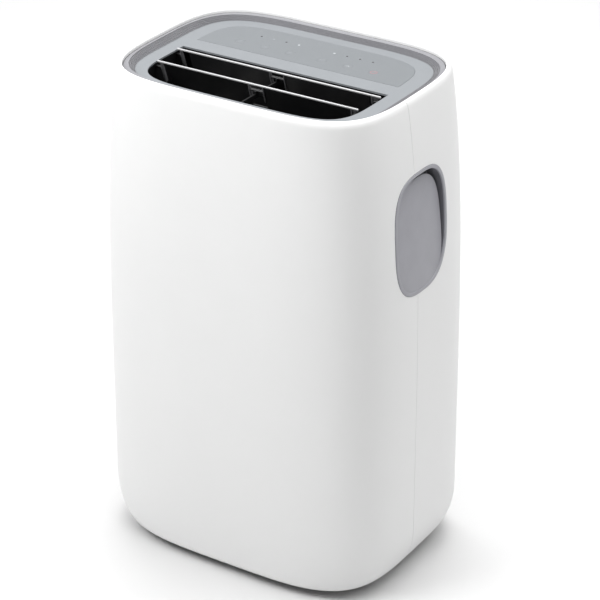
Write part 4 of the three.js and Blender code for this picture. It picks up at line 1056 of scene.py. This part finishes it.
def stage():
    """A pale floor that curves up into a wall, which lies behind the object as the camera sees it."""
    floor_material = mottled("floor", (0.71, 0.71, 0.71), 0.7, spread=0.003, scale=2)
    depth, rise, radius, half = 4.8, 4.5, 1.6, 8.0
    profile = [(-half, 0.0), (depth - radius, 0.0)]
    for degrees in range(6, 91, 6):
        a = math.radians(degrees)
        profile.append((depth - radius + radius * math.sin(a), radius - radius * math.cos(a)))
    profile.append((depth, rise))
    vertices = [(x / MM, y / MM, z / MM) for y, z in profile for x in (-half, half)]
    faces = [(2 * i, 2 * i + 1, 2 * i + 3, 2 * i + 2) for i in range(len(profile) - 1)]
    sweep = mesh_object("backdrop", vertices, faces, 60)
    turn = Matrix.Rotation(CAMERA_AZIMUTH, 4, "Z")
    sweep.data.transform(turn)
    sweep.data.materials.append(floor_material)


def area_light(name, place_at, look_at, size, power):
    light = bpy.data.lights.new(name, "AREA")
    light.shape = "RECTANGLE"
    light.size, light.size_y = size
    light.energy = power
    obj = bpy.data.objects.new(name, light)
    obj.location = place_at
    obj.rotation_euler = (Vector(look_at) - Vector(place_at)).to_track_quat("-Z", "Y").to_euler()
    bpy.context.scene.collection.objects.link(obj)


def lights():
    world = bpy.data.worlds.new("studio")
    bpy.context.scene.world = world
    world.use_nodes = True
    background = world.node_tree.nodes["Background"]
    background.inputs["Color"].default_value = (1, 1, 1, 1)
    background.inputs["Strength"].default_value = 0.3
    area_light("top_light", (0.5, 0.0, 2.7), (0.15, -0.1, 0.2), (2.4, 2.4), 62)
    area_light("front_light", (-0.6, -0.95, 1.45), (0, -0.16, 0.7), (0.7, 0.7), 15.2)
    area_light("side_light", (1.25, 0.25, 1.55), (0.2, 0, 0.75), (0.8, 0.8), 4)
    area_light("wall_light", (-0.9, 1.3, 2.8), (-1.5, 2.5, 0.0), (2.4, 1.2), 78)


def camera():
    data = bpy.data.cameras.new("camera")
    data.lens = CAMERA_LENS
    data.sensor_width = CAMERA_SENSOR
    obj = bpy.data.objects.new("camera", data)
    bpy.context.scene.collection.objects.link(obj)
    rise = Vector((0, 0, FLOOR_GAP * MM))
    eye, target = Vector(CAMERA_EYE) + rise, Vector(CAMERA_TARGET) + rise
    obj.location = eye
    obj.rotation_euler = (target - eye).to_track_quat("-Z", "Y").to_euler()
    bpy.context.scene.camera = obj
    bpy.context.scene.view_settings.view_transform = "Standard"


# ---------------------------------------------------------------- assembly

casings()
intake_grille("upper")
intake_grille("lower")
trim_ring()
top_deck()
overlay()
keys()
lamps()
louver_trim("rear")
louver_trim("front")
grips()
exhaust()
drain_plugs()
cord_gland()
caster_wheels()
finned("evaporator_fins", "evaporator_coil")
finned("condenser_fins", "condenser_coil")
for side, wheel in BLOWERS.items():
    blower(side, wheel["radius"], BLOWER_FRONT, wheel["rear"], (wheel["x"], 0, raised(wheel["height"])))
compressor()
for side, wheel in BLOWERS.items():
    motor(side, wheel["motor"], wheel["x"], wheel["height"], MOTOR_FRONT)
kept_nodes()
stage()
lights()
camera()
